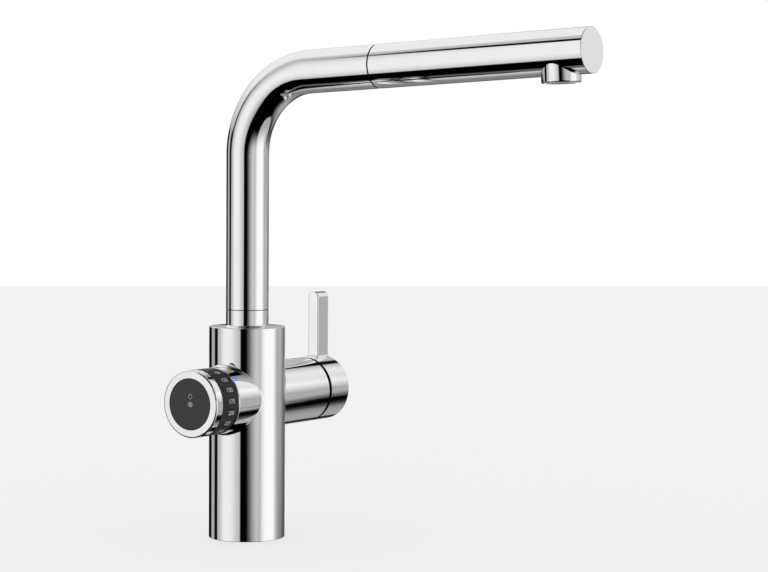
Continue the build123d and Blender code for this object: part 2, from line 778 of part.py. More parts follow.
with BuildPart() as dome_cover:
    with BuildSketch(valve_section):
        with BuildLine():
            Polyline(
                (inner_start_x, inner_start_radius),
                (inner_start_x, spigot_inner),
                (valve_barrel_end - spigot_length, spigot_inner),
                (valve_barrel_end - spigot_length, spigot_outer),
                (valve_barrel_end, spigot_outer),
                (valve_barrel_end, dome_edge),
            )
            ThreePointArc(
                (valve_barrel_end, dome_edge),
                dome_point(dome_radius, dome_middle),
                dome_point(dome_radius, dome_opening),
            )
            Line(dome_point(dome_radius, dome_opening), dome_point(dome_inner, dome_opening))
            ThreePointArc(
                dome_point(dome_inner, dome_opening),
                dome_point(dome_inner, inner_middle),
                (inner_start_x, inner_start_radius),
            )
        make_face()
    revolve(axis=valve_axis)

# Lever: cap over the dome, bar on the cap, square stem on the pivot pin, and a grub screw
cap_start = valve_barrel_end + cap_gap
cap_end = cap_start + cap_length
cap_floor = cap_end - cap_end_wall
boss_radius = 8.0
boss_length = 5.8
boss_start = cap_floor - boss_length
boss_middle = (boss_start + cap_floor) / 2
socket_depth = 2.0
socket_floor = cap_floor + socket_depth
dowel_x = cap_end - cap_end_wall / 2
dowel_radius = 1.5
dowel_depth = 6.0
screw_radius = 2.0
key_size = 1.0
key_depth = 1.8
cap_seat = 0.02
screw_plane = Plane(origin=(boss_middle, 0, axis_height), x_dir=(1, 0, 0), z_dir=(0, 0, -1))
dowel_plane = Plane(
    origin=(dowel_x, 0, axis_height + barrel_radius - dowel_depth), x_dir=(1, 0, 0), z_dir=(0, 0, 1)
)
socket_half = stem_size / 2 + seated

with BuildPart() as lever_cap:
    extrude(disc(valve_side(cap_start), barrel_radius), amount=cap_length)
    fillet(round_edges(lever_cap, Vector(1, 0, 0), cap_end, barrel_radius), cap_fillet)
    cavity = ring(valve_side(cap_start), barrel_radius - cap_wall, boss_radius)
    extrude(cavity, amount=cap_floor - cap_start, mode=Mode.SUBTRACT)
    extrude(disc(valve_side(cap_start), boss_radius), amount=boss_start - cap_start, mode=Mode.SUBTRACT)
    socket = bar(valve_side(cap_start), 2 * socket_half, 2 * socket_half)
    extrude(socket, amount=socket_floor - cap_start, mode=Mode.SUBTRACT)
    extrude(disc(screw_plane, screw_radius + seated), amount=barrel_radius, mode=Mode.SUBTRACT)
    extrude(disc(dowel_plane, dowel_radius + seated), amount=barrel_radius, mode=Mode.SUBTRACT)

with BuildPart() as lever_screw:
    extrude(disc(screw_plane.offset(socket_half), screw_radius), amount=boss_radius - socket_half)
    with BuildSketch(screw_plane.offset(boss_radius)):
        RegularPolygon(key_size, 6, major_radius=False)
    extrude(amount=-key_depth, mode=Mode.SUBTRACT)

with BuildPart() as lever_plug:
    extrude(disc(screw_plane.offset(barrel_radius - cap_wall), screw_radius), amount=cap_wall)
    extrude(disc(valve_side(cap_start), barrel_radius), amount=cap_length, mode=Mode.INTERSECT)

with BuildPart() as lever_stem:
    stem_start = pivot_x - tail_back
    extrude(bar(valve_side(stem_start), stem_size, stem_size), amount=socket_floor - seam - stem_start)
    extrude(disc(rotor_plane, pivot_radius + running), amount=stem_size, both=True, mode=Mode.SUBTRACT)

with BuildPart() as lever_bar:
    bar_plane = valve_side(cap_end - lever_depth)
    straight = lever_rise - lever_width / 2
    with BuildSketch(bar_plane):
        with Locations((0, straight / 2)):
            Rectangle(lever_width, straight)
        with Locations((0, straight)):
            Circle(lever_width / 2)
    extrude(amount=lever_depth)
    extrude(disc(valve_side(0), barrel_radius + cap_seat), amount=2 * cap_end, mode=Mode.SUBTRACT)
    above_cap = axis_height + barrel_radius + lever_fillet
    outline = lever_bar.faces().filter_by(Axis.X).edges()
    fillet(outline.filter_by(lambda edge: edge.center().Z > above_cap), lever_fillet)
    extrude(disc(dowel_plane, dowel_radius), amount=dowel_depth + lever_width / 2)

# Every piece, by the name that it is written under
pieces = {
    "body_shell": body_shell,
    "base_seal": base_seal,
    "base_plate": base_plate,
    "shank": shank,
    "rubber_washer": rubber_washer,
    "steel_washer": steel_washer,
    "fixing_nut": fixing_nut,
    "led_window": led_window,
    "cold_mark": cold_mark,
    "hot_mark": hot_mark,
    "swivel_collar": swivel_collar,
    "stop_pin": stop_pin,
    "lower_bush": lower_bush,
    "upper_bush": upper_bush,
    "swivel_washer": swivel_washer,
    "riser_hot": riser_hot,
    "riser_mixed": riser_mixed,
    "riser_cold": riser_cold,
    "valve_seat": valve_seat,
    "seat_seals": seat_seals,
    "cartridge_body": cartridge_body,
    "fixed_disc": fixed_disc,
    "cartridge_nut": cartridge_nut,
    "dome_cover": dome_cover,
    "dial_spindle": dial_spindle,
    "control_board": control_board,
    "push_switch": push_switch,
    "button_spring": button_spring,
    "dial_clip": dial_clip,
    "spout_tube": spout_tube,
    "spout_stem": spout_stem,
    "stem_o_rings": stem_o_rings,
    "stem_clip": stem_clip,
    "mouth_guide": mouth_guide,
    "spray_hose": spray_hose,
    "hose_tail": hose_tail,
    "head_shell": head_shell,
    "head_neck": head_neck,
    "hose_ferrule": hose_ferrule,
    "check_valve": check_valve,
    "flow_tube": flow_tube,
    "outlet_core": outlet_core,
    "aerator_housing": aerator_housing,
    "aerator_insert": aerator_insert,
    "aerator_seal": aerator_seal,
    "number_ring": number_ring,
    "knob_rim": knob_rim,
    "knob_hub": knob_hub,
    "magnet_ring": magnet_ring,
    "button_glass": button_glass,
    "button_carrier": button_carrier,
    "moving_disc": moving_disc,
    "cartridge_rotor": cartridge_rotor,
    "pivot_pin": pivot_pin,
    "lever_cap": lever_cap,
    "lever_screw": lever_screw,
    "lever_plug": lever_plug,
    "lever_stem": lever_stem,
    "lever_bar": lever_bar,
}

os.makedirs("parts", exist_ok=True)
for name, piece in pieces.items():
    piece.part.label = name
    export_step(piece.part, f"parts/{name}.step")
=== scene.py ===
from math import atan2, cos, hypot, pi, radians, sin, tan

import bmesh
import bpy
from mathutils import Matrix, Vector


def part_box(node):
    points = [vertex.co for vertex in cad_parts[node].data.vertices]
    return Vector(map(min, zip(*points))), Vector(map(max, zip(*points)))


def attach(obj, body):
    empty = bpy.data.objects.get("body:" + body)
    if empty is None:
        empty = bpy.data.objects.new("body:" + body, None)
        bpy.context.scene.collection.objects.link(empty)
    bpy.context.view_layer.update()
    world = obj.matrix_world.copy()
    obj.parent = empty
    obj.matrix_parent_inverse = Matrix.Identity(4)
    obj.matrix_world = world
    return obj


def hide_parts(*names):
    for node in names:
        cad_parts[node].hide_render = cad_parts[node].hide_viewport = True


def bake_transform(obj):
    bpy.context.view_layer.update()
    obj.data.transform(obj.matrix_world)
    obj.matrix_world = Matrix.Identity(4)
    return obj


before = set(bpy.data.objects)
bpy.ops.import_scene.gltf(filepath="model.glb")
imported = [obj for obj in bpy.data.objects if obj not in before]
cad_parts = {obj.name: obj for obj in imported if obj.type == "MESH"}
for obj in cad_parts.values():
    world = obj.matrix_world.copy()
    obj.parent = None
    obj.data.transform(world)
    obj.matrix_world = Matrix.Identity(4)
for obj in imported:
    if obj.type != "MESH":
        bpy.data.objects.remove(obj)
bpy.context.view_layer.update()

bl_info = {
    "name": "Kitchen mixer tap",
    "version": (1, 0, 0),
    "blender": (4, 5, 0),
    "location": "View3D > Sidebar > Mixer tap",
    "description": "Dresses the solids of a kitchen mixer tap: finishes, printing, hose and threads",
    "category": "Object",
}

# Metres, in the frame of the solids: the spout points along -Y, the dial is on the -X side,
# the lever valve on the +X side, and the worktop is the plane z = 0.
mm = 0.001
X, Y, Z = Vector((1, 0, 0)), Vector((0, 1, 0)), Vector((0, 0, 1))

ring_low, ring_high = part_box("number_ring")
glass_low, glass_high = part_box("button_glass")
shank_low, shank_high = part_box("shank")
shank_wall = 2.5 * mm
nut_low, nut_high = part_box("fixing_nut")
bar_low, bar_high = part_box("lever_bar")
dial_axis_height = (ring_low.z + ring_high.z) / 2

# The ring's darker back band starts where the fine lines between the numbers end
band_start, band_end = -38.9 * mm, -37.1 * mm


# ---- Sizes and colours that a user would change

size_of = {"unit": "LENGTH", "precision": 5}
colour_of = {"size": 3, "subtype": "COLOR", "min": 0, "max": 1}
share_of = {"min": 0, "max": 1, "subtype": "FACTOR"}


class TapDialSettings(bpy.types.PropertyGroup):
    number_height: bpy.props.FloatProperty(
        name="Number height", description="Height of the printed numbers on the dial's ring",
        default=2.95 * mm, min=1 * mm, max=6 * mm, **size_of)
    number_spacing: bpy.props.FloatProperty(
        name="Number width", description="Width of a printed number of three digits",
        default=5.35 * mm, min=2 * mm, max=9 * mm, **size_of)
    number_place: bpy.props.FloatProperty(
        name="Number place", description="Distance from the upright axis to the middle of the numbers",
        default=43.7 * mm, min=40 * mm, max=50 * mm, **size_of)
    number_boldness: bpy.props.FloatProperty(
        name="Number boldness", description="How much heavier the numbers are than the font",
        default=0.01, min=0, max=0.1, subtype="FACTOR")
    print_thickness: bpy.props.FloatProperty(
        name="Print thickness", description="How far the printing stands on the ring",
        default=0.03 * mm, min=0.01 * mm, max=0.2 * mm, unit="LENGTH", precision=6)
    line_width: bpy.props.FloatProperty(
        name="Line width", description="Width of the fine lines between the numbers",
        default=0.14 * mm, min=0.05 * mm, max=0.5 * mm, unit="LENGTH", precision=6)
    number_colour: bpy.props.FloatVectorProperty(
        name="Number colour", description="Colour of the printed numbers",
        default=(0.50, 0.49, 0.48), **colour_of)
    line_colour: bpy.props.FloatVectorProperty(
        name="Line colour", description="Colour of the lines between the numbers",
        default=(0.085, 0.082, 0.08), **colour_of)
    ring_colour: bpy.props.FloatVectorProperty(
        name="Ring colour", description="Colour of the dial's plastic ring",
        default=(0.029, 0.027, 0.026), **colour_of)
    glass_colour: bpy.props.FloatVectorProperty(
        name="Glass colour", description="Colour of the button's dark glass",
        default=(0.046, 0.045, 0.045), **colour_of)
    icon_colour: bpy.props.FloatVectorProperty(
        name="Icon colour", description="Colour of the two icons on the glass",
        default=(0.33, 0.33, 0.34), **colour_of)


class TapFinishSettings(bpy.types.PropertyGroup):
    chrome_colour: bpy.props.FloatVectorProperty(
        name="Chrome colour", description="Tint of the polished chrome",
        default=(0.985, 0.985, 0.99), **colour_of)
    chrome_roughness: bpy.props.FloatProperty(
        name="Chrome roughness", description="Blur of the chrome's reflections",
        default=0.035, **share_of)
    light_colour: bpy.props.FloatVectorProperty(
        name="Light colour", description="Colour at the edge of the lit bar on the dial's barrel",
        default=(0.03, 0.14, 0.86), **colour_of)
    light_core_colour: bpy.props.FloatVectorProperty(
        name="Light core colour", description="Colour in the middle of the lit bar",
        default=(0.27, 0.56, 1.0), **colour_of)


class TapPlumbingSettings(bpy.types.PropertyGroup):
    thread_pitch: bpy.props.FloatProperty(
        name="Thread pitch", description="Pitch of the thread on the fixing shank",
        default=1.5 * mm, min=0.5 * mm, max=4 * mm, **size_of)
    thread_depth: bpy.props.FloatProperty(
        name="Thread depth", description="Depth of the thread on the fixing shank",
        default=0.8 * mm, min=0.2 * mm, max=2 * mm, **size_of)
    braid_pitch: bpy.props.FloatProperty(
        name="Braid pitch", description="Length of one turn of a strand of the hose's braid",
        default=14 * mm, min=5 * mm, max=50 * mm, **size_of)
    braid_colour: bpy.props.FloatVectorProperty(
        name="Braid colour", description="Colour of the hose's woven sheath",
        default=(0.30, 0.31, 0.33), **colour_of)


class TapStageSettings(bpy.types.PropertyGroup):
    floor_tone: bpy.props.FloatProperty(
        name="Floor tone", description="Reflectance of the pale floor",
        default=0.89, **share_of)
    floor_reach: bpy.props.FloatProperty(
        name="Floor reach", description="Distance from the tap to each edge of the floor",
        default=3.1114, min=1, max=20, unit="LENGTH")
    floor_turn: bpy.props.FloatProperty(
        name="Floor turn", description="Direction of the floor's far side in plan, clockwise from +Y",
        default=radians(49.444), subtype="ANGLE")
    floor_shade: bpy.props.FloatProperty(
        name="Floor shade", description="How much of the floor's light the tap can shade",
        default=0.22, **share_of)
    camera_place: bpy.props.FloatVectorProperty(
        name="Camera place", description="Where the camera stands",
        default=(-1.16005, -0.88769, 0.24283), size=3, subtype="TRANSLATION", unit="LENGTH")
    heading: bpy.props.FloatProperty(
        name="Heading", description="The camera's direction in plan, clockwise from +Y",
        default=radians(55.903), subtype="ANGLE")
    pitch: bpy.props.FloatProperty(
        name="Pitch", description="How far the camera looks up",
        default=radians(-2.886), subtype="ANGLE")
    roll: bpy.props.FloatProperty(
        name="Roll", description="How far the camera leans over",
        default=radians(0.342), subtype="ANGLE")
    lens: bpy.props.FloatProperty(
        name="Lens", description="Focal length in millimetres on a 36 mm wide sensor",
        default=104.08, min=10, max=500)


# ---- Shader maths: a Field is one socket, and a NodeBook adds the nodes of one tree

class Field:
    """One output socket, with the arithmetic of Math nodes."""

    def __init__(self, book, socket):
        self.book = book
        self.socket = socket

    def math(self, operation, *others):
        sockets = dict(enumerate((self,) + others))
        return self.book.add("ShaderNodeMath", {"operation": operation}, sockets)

    def __add__(self, other):
        return self.math("ADD", other)

    def __radd__(self, other):
        return self.math("ADD", other)

    def __sub__(self, other):
        return self.math("SUBTRACT", other)

    def __rsub__(self, other):
        return self.book.add("ShaderNodeMath", {"operation": "SUBTRACT"}, {0: other, 1: self})

    def __mul__(self, other):
        return self.math("MULTIPLY", other)

    def __rmul__(self, other):
        return self.math("MULTIPLY", other)

    def __truediv__(self, other):
        return self.math("DIVIDE", other)

    def __neg__(self):
        return self.math("MULTIPLY", -1)

    def __abs__(self):
        return self.math("ABSOLUTE")


class NodeBook:
    """The nodes of one tree."""

    def __init__(self, tree):
        self.tree = tree
        tree.nodes.clear()

    def add(self, kind, settings=None, inputs=None, output=0):
        """Adds a node with its settings and its sockets' values or links, and gives one output."""
        node = self.tree.nodes.new(kind)
        for name, value in (settings or {}).items():
            setattr(node, name, value)
        for key, value in (inputs or {}).items():
            socket = node.inputs[key]
            if isinstance(value, Field):
                self.tree.links.new(value.socket, socket)
            elif isinstance(value, (tuple, list, Vector)) and socket.type == "RGBA":
                socket.default_value = tuple(value)[:3] + (1.0,)
            else:
                socket.default_value = value
        return Field(self, node.outputs[output]) if len(node.outputs) else node

    def ease(self, value, low, high, first=0.0, last=1.0):
        """A smooth step from first to last as value goes from low to high."""
        settings = {"interpolation_type": "SMOOTHSTEP", "clamp": True}
        return self.add("ShaderNodeMapRange", settings, {
            "Value": value, "From Min": low, "From Max": high, "To Min": first, "To Max": last})

    def between(self, value, low, high, soft):
        """1 where value lies between low and high, with edges of width soft."""
        half = soft / 2
        return self.ease(value, low - half, low + half) * self.ease(value, high + half, high - half)

    def blend(self, first, last, share):
        """A number that goes from first to last with share."""
        return self.add("ShaderNodeMix", {"data_type": "FLOAT"}, {0: share, 2: first, 3: last}, 0)

    def tint(self, first, last, share):
        """A colour that goes from first to last with share."""
        return self.add("ShaderNodeMix", {"data_type": "RGBA"}, {0: share, 6: first, 7: last}, 2)

    def dot(self, vector, direction):
        settings = {"operation": "DOT_PRODUCT"}
        return self.add("ShaderNodeVectorMath", settings, {0: vector, 1: tuple(direction)}, "Value")

    def place(self, kind="Object"):
        return self.add("ShaderNodeTexCoord", output=kind)

    def parts(self, vector):
        """The three numbers of a vector."""
        node = self.add("ShaderNodeSeparateXYZ", None, {0: vector}).socket.node
        return [Field(self, socket) for socket in node.outputs]

    def stretched(self, vector, scale):
        """A vector with each of its numbers multiplied by its own scale."""
        return self.add("ShaderNodeVectorMath", {"operation": "MULTIPLY"}, {0: vector, 1: tuple(scale)})

    def noise(self, vector, scale, detail=3.0, roughness=0.5):
        return self.add("ShaderNodeTexNoise", {"noise_dimensions": "3D"}, {
            "Vector": vector, "Scale": scale, "Detail": detail, "Roughness": roughness})

    def bump(self, height, depth, strength=1.0):
        inputs = {"Height": height, "Distance": depth, "Strength": strength}
        return self.add("ShaderNodeBump", None, inputs)


def finish(name, paint, **constants):
    """A material whose shader has these constants, and what paint returns for its varying sockets."""
    material = bpy.data.materials.new(name)
    material.use_nodes = True
    book = NodeBook(material.node_tree)
    varying = paint(book)
    inputs = {key.replace("_", " "): value for key, value in constants.items()}
    inputs.update(varying)
    surface = book.add("ShaderNodeBsdfPrincipled", None, inputs)
    book.add("ShaderNodeOutputMaterial", None, {"Surface": surface})
    return material


# ---- Finishes of the tap

def chrome_paint(book, settings):
    """Polished chrome, wiped into faint upright streaks."""
    place = book.place()
    wiped = book.noise(book.stretched(place, (1, 1, 0.35)), 55.0, 4.0)
    grain = book.noise(place, 900.0, 2.0)
    polish = settings.chrome_roughness
    colour = book.tint(tuple(settings.chrome_colour), (0.955, 0.96, 0.97), book.ease(wiped, 0.5, 0.8))
    return {
        "Base Color": colour,
        "Roughness": polish * 0.6 + book.ease(wiped, 0.3, 0.75) * polish * 0.8 + grain * polish * 0.2,
        "Normal": book.bump(wiped + grain * 0.1, 0.00002, 0.05),
    }


def moulded_paint(book, colour, roughness, grain_scale=2600.0, depth=0.00003):
    """Moulded plastic or rubber: a fine grain, with tone and gloss that wander a little."""
    place = book.place()
    grain = book.noise(place, grain_scale, 2.0, 0.6)
    cloud = book.noise(place, 120.0, 3.0)
    darker = tuple(part * 0.72 for part in colour)
    return {
        "Base Color": book.tint(darker, tuple(colour), book.ease(cloud * 0.6 + grain * 0.4, 0.3, 0.7)),
        "Roughness": roughness - 0.06 + cloud * 0.12 + grain * 0.06,
        "Normal": book.bump(grain, depth, 0.5),
    }


def turned_paint(book, colour, roughness, axis):
    """Machined metal: fine turning marks across one axis and a slight stain."""
    place = book.place()
    scale = [160.0, 160.0, 160.0]
    scale[axis] = 9000.0
    marks = book.noise(book.stretched(place, scale), 1.0, 2.0, 0.7)
    stain = book.noise(place, 90.0, 4.0)
    darker = tuple(part * 0.7 for part in colour)
    return {
        "Base Color": book.tint(darker, tuple(colour), book.ease(stain * 0.6 + marks * 0.4, 0.25, 0.65)),
        "Roughness": roughness + marks * 0.12 + stain * 0.08,
        "Normal": book.bump(marks, 0.00003, 0.35),
    }


def ring_paint(book, settings):
    """The dial's ring: fine-grained black plastic with a darker band at its back edge."""
    varying = moulded_paint(book, tuple(settings.ring_colour), 0.5, 3200.0)
    along = book.parts(book.place())[0]
    edge = book.between(along, band_start, band_end, 0.1 * mm)
    varying["Base Color"] = book.tint(varying["Base Color"], (0.016, 0.015, 0.015), edge * 0.8)
    return varying


def light_paint(book, settings):
    """The lit bar on the dial's barrel: pale in its middle, deep blue at its edges."""
    up_the_front = radians(43)
    place = book.place()
    towards_top = book.dot(place, (0, sin(up_the_front), cos(up_the_front)))
    across = abs(towards_top - dial_axis_height * cos(up_the_front))
    along = book.parts(place)[0]
    core = book.ease(across, 0.8 * mm, 0.1 * mm) * book.ease(along, -32.2 * mm, -33.2 * mm)
    glow = book.tint(tuple(settings.light_colour), tuple(settings.light_core_colour), core)
    return {"Base Color": book.tint(glow, (0, 0, 0), 0.75), "Emission Color": glow, "Roughness": 0.4}


def lacquer_paint(book, colour):
    """Enamel or lacquer with a slight cloud."""
    cloud = book.noise(book.place(), 700.0, 3.0)
    darker = tuple(part * 0.8 for part in colour)
    return {
        "Base Color": book.tint(darker, tuple(colour), book.ease(cloud, 0.35, 0.65)),
        "Roughness": 0.25 + cloud * 0.15,
    }


def board_paint(book):
    """A circuit board: green lacquer over fine straight tracks, with gold pads."""
    place = book.place()
    _, along, up = book.parts(place)

    def stripes(value, per_metre, start, end, soft):
        return book.between((value * per_metre).math("FRACT"), start, end, soft)

    tracks = stripes(along, 900, 0.3, 0.7, 0.1) * stripes(up, 700, 0.1, 0.75, 0.1)
    pads = stripes(up, 400, 0.35, 0.65, 0.08) * stripes(along, 400, 0.35, 0.65, 0.08)
    green = book.tint((0.01, 0.09, 0.035), (0.02, 0.16, 0.06), tracks)
    return {
        "Base Color": book.tint(green, (0.72, 0.5, 0.2), pads),
        "Metallic": pads,
        "Roughness": 0.45 - pads * 0.15 + book.noise(place, 900.0) * 0.1,
        "Normal": book.bump(tracks + pads, 0.00002, 0.6),
    }


def braid_paint(book, settings):
    """The hose's sheath: two families of strands that pass over and under each other, with painted shade
    on the strands' sides and in the gaps between them.
    """
    around, along, _ = book.parts(book.place("UV"))
    strands = 12.0
    turn = along / settings.braid_pitch
    right = ((around + turn) * strands).math("FRACT")
    left = ((around - turn) * strands).math("FRACT")
    over = book.ease(((right - 0.5) * (left - 0.5)), -0.02, 0.02)
    rope_right = (right * pi).math("SINE")
    rope_left = (left * pi).math("SINE")
    height = book.blend(rope_left, rope_right, over)
    fibre = book.noise(book.stretched(book.place("UV"), (160.0, 2500.0, 1.0)), 1.0, 2.0)
    # Painted shade: the strands darken towards their sides and in the gaps between them, down to a
    # quarter of the braid's colour, and the fibre noise adds random tone.
    unshaded_share = book.ease(height + fibre * 0.2, 0.1, 0.9)
    dark = tuple(part * 0.25 for part in settings.braid_colour)
    return {
        "Base Color": book.tint(dark, tuple(settings.braid_colour), unshaded_share),
        "Roughness": 0.55 + fibre * 0.2,
        "Normal": book.bump(height + fibre * 0.15, 0.0003, 0.8),
    }


def glass_paint(book, settings):
    """Dark glass: an even charcoal with the faintest cloud and a slight orange peel in its gloss."""
    place = book.place()
    cloud = book.noise(place, 160.0, 3.0)
    colour = tuple(settings.glass_colour)
    return {
        "Base Color": book.tint(tuple(part * 0.93 for part in colour), colour, cloud),
        "Roughness": 0.42 + cloud * 0.08,
        "Normal": book.bump(book.noise(place, 2600.0, 2.0), 0.00001, 0.2),
    }


class TAP_OT_finishes(bpy.types.Operator):
    """Gives every solid of the tap its finish"""
    bl_idname = "tap.finishes"
    bl_label = "Finishes of the solids"

    def execute(self, context):
        settings = context.scene.tap_finish
        dial = context.scene.tap_dial
        plumbing = context.scene.tap_plumbing

        def metal(name, *turned, metallic=1.0):
            return finish(name, lambda book: turned_paint(book, *turned), Metallic=metallic)

        def moulding(name, *moulded, **constants):
            return finish(name, lambda book: moulded_paint(book, *moulded), **constants)

        def enamel(name, colour):
            return finish(name, lambda book: lacquer_paint(book, colour), Specular_IOR_Level=0.0)

        finishes = {
            "chrome": finish("polished_chrome", lambda book: chrome_paint(book, settings), Metallic=1.0),
            "steel": metal("spring_steel", (0.56, 0.56, 0.57), 0.25, 2),
            "brass": metal("machined_brass", (0.72, 0.52, 0.25), 0.24, 2),
            "copper": metal("drawn_copper", (0.78, 0.40, 0.26), 0.25, 0),
            "magnet": metal("ferrite", (0.09, 0.09, 0.095), 0.4, 0, metallic=0.6),
            "rubber": moulding("black_rubber", (0.022, 0.022, 0.022), 0.68, 1800.0),
            "black_plastic": moulding(
                "black_moulding", (0.006, 0.006, 0.006), 0.6, Specular_IOR_Level=0.1),
            "grey_plastic": moulding("grey_moulding", (0.30, 0.31, 0.32), 0.45),
            "white_plastic": moulding("white_moulding", (0.80, 0.80, 0.77), 0.4),
            "disc_ceramic": moulding("ceramic", (0.86, 0.85, 0.82), 0.18, 5000.0, 0.000005),
            "black_ring": finish(
                "dial_ring_plastic", lambda book: ring_paint(book, dial), Specular_IOR_Level=0.2),
            "dark_glass": finish(
                "smoked_glass", lambda book: glass_paint(book, dial), Specular_IOR_Level=0.15),
            "blue_lens": finish(
                "blue_light", lambda book: light_paint(book, settings),
                Emission_Strength=0.8, Specular_IOR_Level=0.0),
            "blue_mark": enamel("blue_enamel", (0.10, 0.12, 0.85)),
            "red_mark": enamel("red_enamel", (0.85, 0.05, 0.04)),
            "hose": finish("hose_sheath", lambda book: braid_paint(book, plumbing)),
            "circuit_board": finish("lacquered_board", board_paint),
        }
        for slot_name, material in finishes.items():
            material["slot"] = slot_name
        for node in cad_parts.values():
            for slot in node.material_slots:
                slot.material = finishes[slot.material.name.split(".")[0]]
        return {"FINISHED"}


def material_of(slot_name):
    """The finish that the solids of this slot have."""
    found = [m for m in bpy.data.materials if m.get("slot") == slot_name]
    if not found:
        raise RuntimeError(f"no finish for {slot_name}: run the finishes first")
    return found[0]


# ---- Mesh tools

def lay_down(name, bm, body, slot_name, replaced=(), sharp=35.0, ink=None):
    """Makes a piece from a bmesh: smooth but for its sharp edges, on its body, with the given ink or else
    the finish of its slot.
    """
    bmesh.ops.remove_doubles(bm, verts=bm.verts, dist=0.0005 * mm)
    bmesh.ops.recalc_face_normals(bm, faces=bm.faces)
    mesh = bpy.data.meshes.new(name)
    bm.to_mesh(mesh)
    bm.free()
    for polygon in mesh.polygons:
        polygon.use_smooth = True
    mesh.set_sharp_from_angle(angle=radians(sharp))
    piece = bpy.data.objects.new(name, mesh)
    bpy.context.scene.collection.objects.link(piece)
    mesh.materials.append(ink or material_of(slot_name))
    if replaced:
        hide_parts(*replaced)
    if body:
        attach(piece, body)
    return piece


def lathe(bm, profile, centre, axis, steps=96):
    """Turns a closed outline of (distance from the axis, place along the axis) all the way round."""
    side = X if abs(axis.x) < 0.9 else Y
    side = (side - axis * side.dot(axis)).normalized()
    points = [bm.verts.new(centre + side * radius + axis * place) for radius, place in profile]
    edges = [bm.edges.new(pair) for pair in zip(points, points[1:] + points[:1])]
    bmesh.ops.spin(
        bm, geom=points + edges, cent=centre, axis=axis, angle=2 * pi, steps=steps, use_merge=True)


def quarter_round(radius, steps=8):
    """The points of a cove in a corner, from its foot on the level to its foot on the upright."""
    turns = [pi / 2 * step / steps for step in range(steps + 1)]
    return [(radius * (1 - sin(turn)), radius * (1 - cos(turn))) for turn in turns]


def flat_text(words, height, width, boldness):
    """Words as a flat mesh around the origin, scaled to a height and a width."""
    curve = bpy.data.curves.new("words", "FONT")
    curve.body = words
    curve.offset = boldness
    curve.align_x = "CENTER"
    curve.align_y = "CENTER"
    curve.resolution_u = 3
    holder = bpy.data.objects.new("words", curve)
    bpy.context.scene.collection.objects.link(holder)
    bpy.context.view_layer.update()
    flat = bpy.data.meshes.new_from_object(holder.evaluated_get(bpy.context.evaluated_depsgraph_get()))
    bpy.data.objects.remove(holder)
    bpy.data.curves.remove(curve)
    bm = bmesh.new()
    bm.from_mesh(flat)
    bpy.data.meshes.remove(flat)
    low = Vector([min(v.co[i] for v in bm.verts) for i in range(3)])
    high = Vector([max(v.co[i] for v in bm.verts) for i in range(3)])
    bmesh.ops.translate(bm, verts=bm.verts, vec=-(low + high) / 2)
    size = high - low
    bmesh.ops.scale(bm, verts=bm.verts, vec=(width / size.x, height / size.y, 1))
    return bm


def join_into(target, source):
    """Adds one bmesh to another, and frees it."""
    holder = bpy.data.meshes.new("join")
    source.to_mesh(holder)
    source.free()
    target.from_mesh(holder)
    bpy.data.meshes.remove(holder)


def thicken(bm, thickness):
    """Makes flat faces look along +Z, and thickens them that way."""
    for face in bm.faces:
        if face.normal.z < 0:
            face.normal_flip()
    grown = bmesh.ops.extrude_face_region(bm, geom=list(bm.faces), use_keep_orig=True)
    top = [item for item in grown["geom"] if isinstance(item, bmesh.types.BMVert)]
    bmesh.ops.translate(bm, verts=top, vec=(0, 0, thickness))


def wrap_on_ring(bm, place, angle, radius):
    """Bends a flat piece onto the dial's ring: x runs along the ring's axis, y round it, z outwards."""
    for vert in bm.verts:
        turn = angle + vert.co.y / radius
        reach = radius + vert.co.z
        vert.co = Vector((place + vert.co.x, -cos(turn) * reach, dial_axis_height + sin(turn) * reach))


# ---- The casting, with even reflections over its seams, and the coves round what stands on it

body_radius = 25.0 * mm
barrel_radius = 21.75 * mm
seam_radius = 2.0 * mm
surface_slack = 0.015 * mm
seam_slack = 0.1 * mm
tube_radius = 14.0 * mm
cove_radius = 1.2 * mm
cove_overlap = 0.02 * mm


def casting_normal(point):
    """The direction out of the casting's upright body, of a barrel or of the fillet between, or None."""
    x, y, up = point.x, point.y, point.z - dial_axis_height
    off_body, off_barrel = hypot(x, y) - body_radius, hypot(y, up) - barrel_radius
    if abs(off_body) < surface_slack and off_barrel > surface_slack:
        return Vector((x, y, 0)).normalized()
    if abs(off_barrel) < surface_slack and off_body > surface_slack:
        return Vector((0, y, up)).normalized()
    if min(off_body, off_barrel) < -surface_slack or max(off_body, off_barrel) > 2 * seam_radius:
        return None

    # The fillet is rolled by a ball that touches the body and the barrel: the nearest one is sought
    def to_ball(turn):
        track = barrel_radius + seam_radius
        out = ((body_radius + seam_radius) ** 2 - (track * cos(turn)) ** 2) ** 0.5
        centre = Vector((out if x > 0 else -out, track * cos(turn), dial_axis_height + track * sin(turn)))
        return centre - point

    span = 0.4
    low, high = atan2(up, y) - span, atan2(up, y) + span
    for _ in range(24):
        first, second = low + (high - low) / 3, high - (high - low) / 3
        if to_ball(first).length < to_ball(second).length:
            high = second
        else:
            low = first
    towards = to_ball((low + high) / 2)
    return towards.normalized() if abs(towards.length - seam_radius) < seam_slack else None


class TAP_OT_even_casting(bpy.types.Operator):
    """Copies the casting's solid with its reflections evened out where the barrels meet the body"""
    bl_idname = "tap.even_casting"
    bl_label = "Even casting"

    def execute(self, context):
        casting = bmesh.new()
        casting.from_mesh(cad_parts["body_shell"].data)
        bmesh.ops.remove_doubles(casting, verts=casting.verts, dist=0.0001 * mm)
        piece = lay_down("body_casting", casting, "root", "chrome", ["body_shell"], 30.0)
        mesh = piece.data
        exact = [casting_normal(vert.co) for vert in mesh.vertices]
        normals = [corner.vector.copy() for corner in mesh.corner_normals]
        for polygon in mesh.polygons:
            for loop in polygon.loop_indices:
                outward = exact[mesh.loops[loop].vertex_index]
                if outward and outward.dot(polygon.normal) > 0.85:
                    normals[loop] = outward
        mesh.normals_split_custom_set(normals)
        return {"FINISHED"}


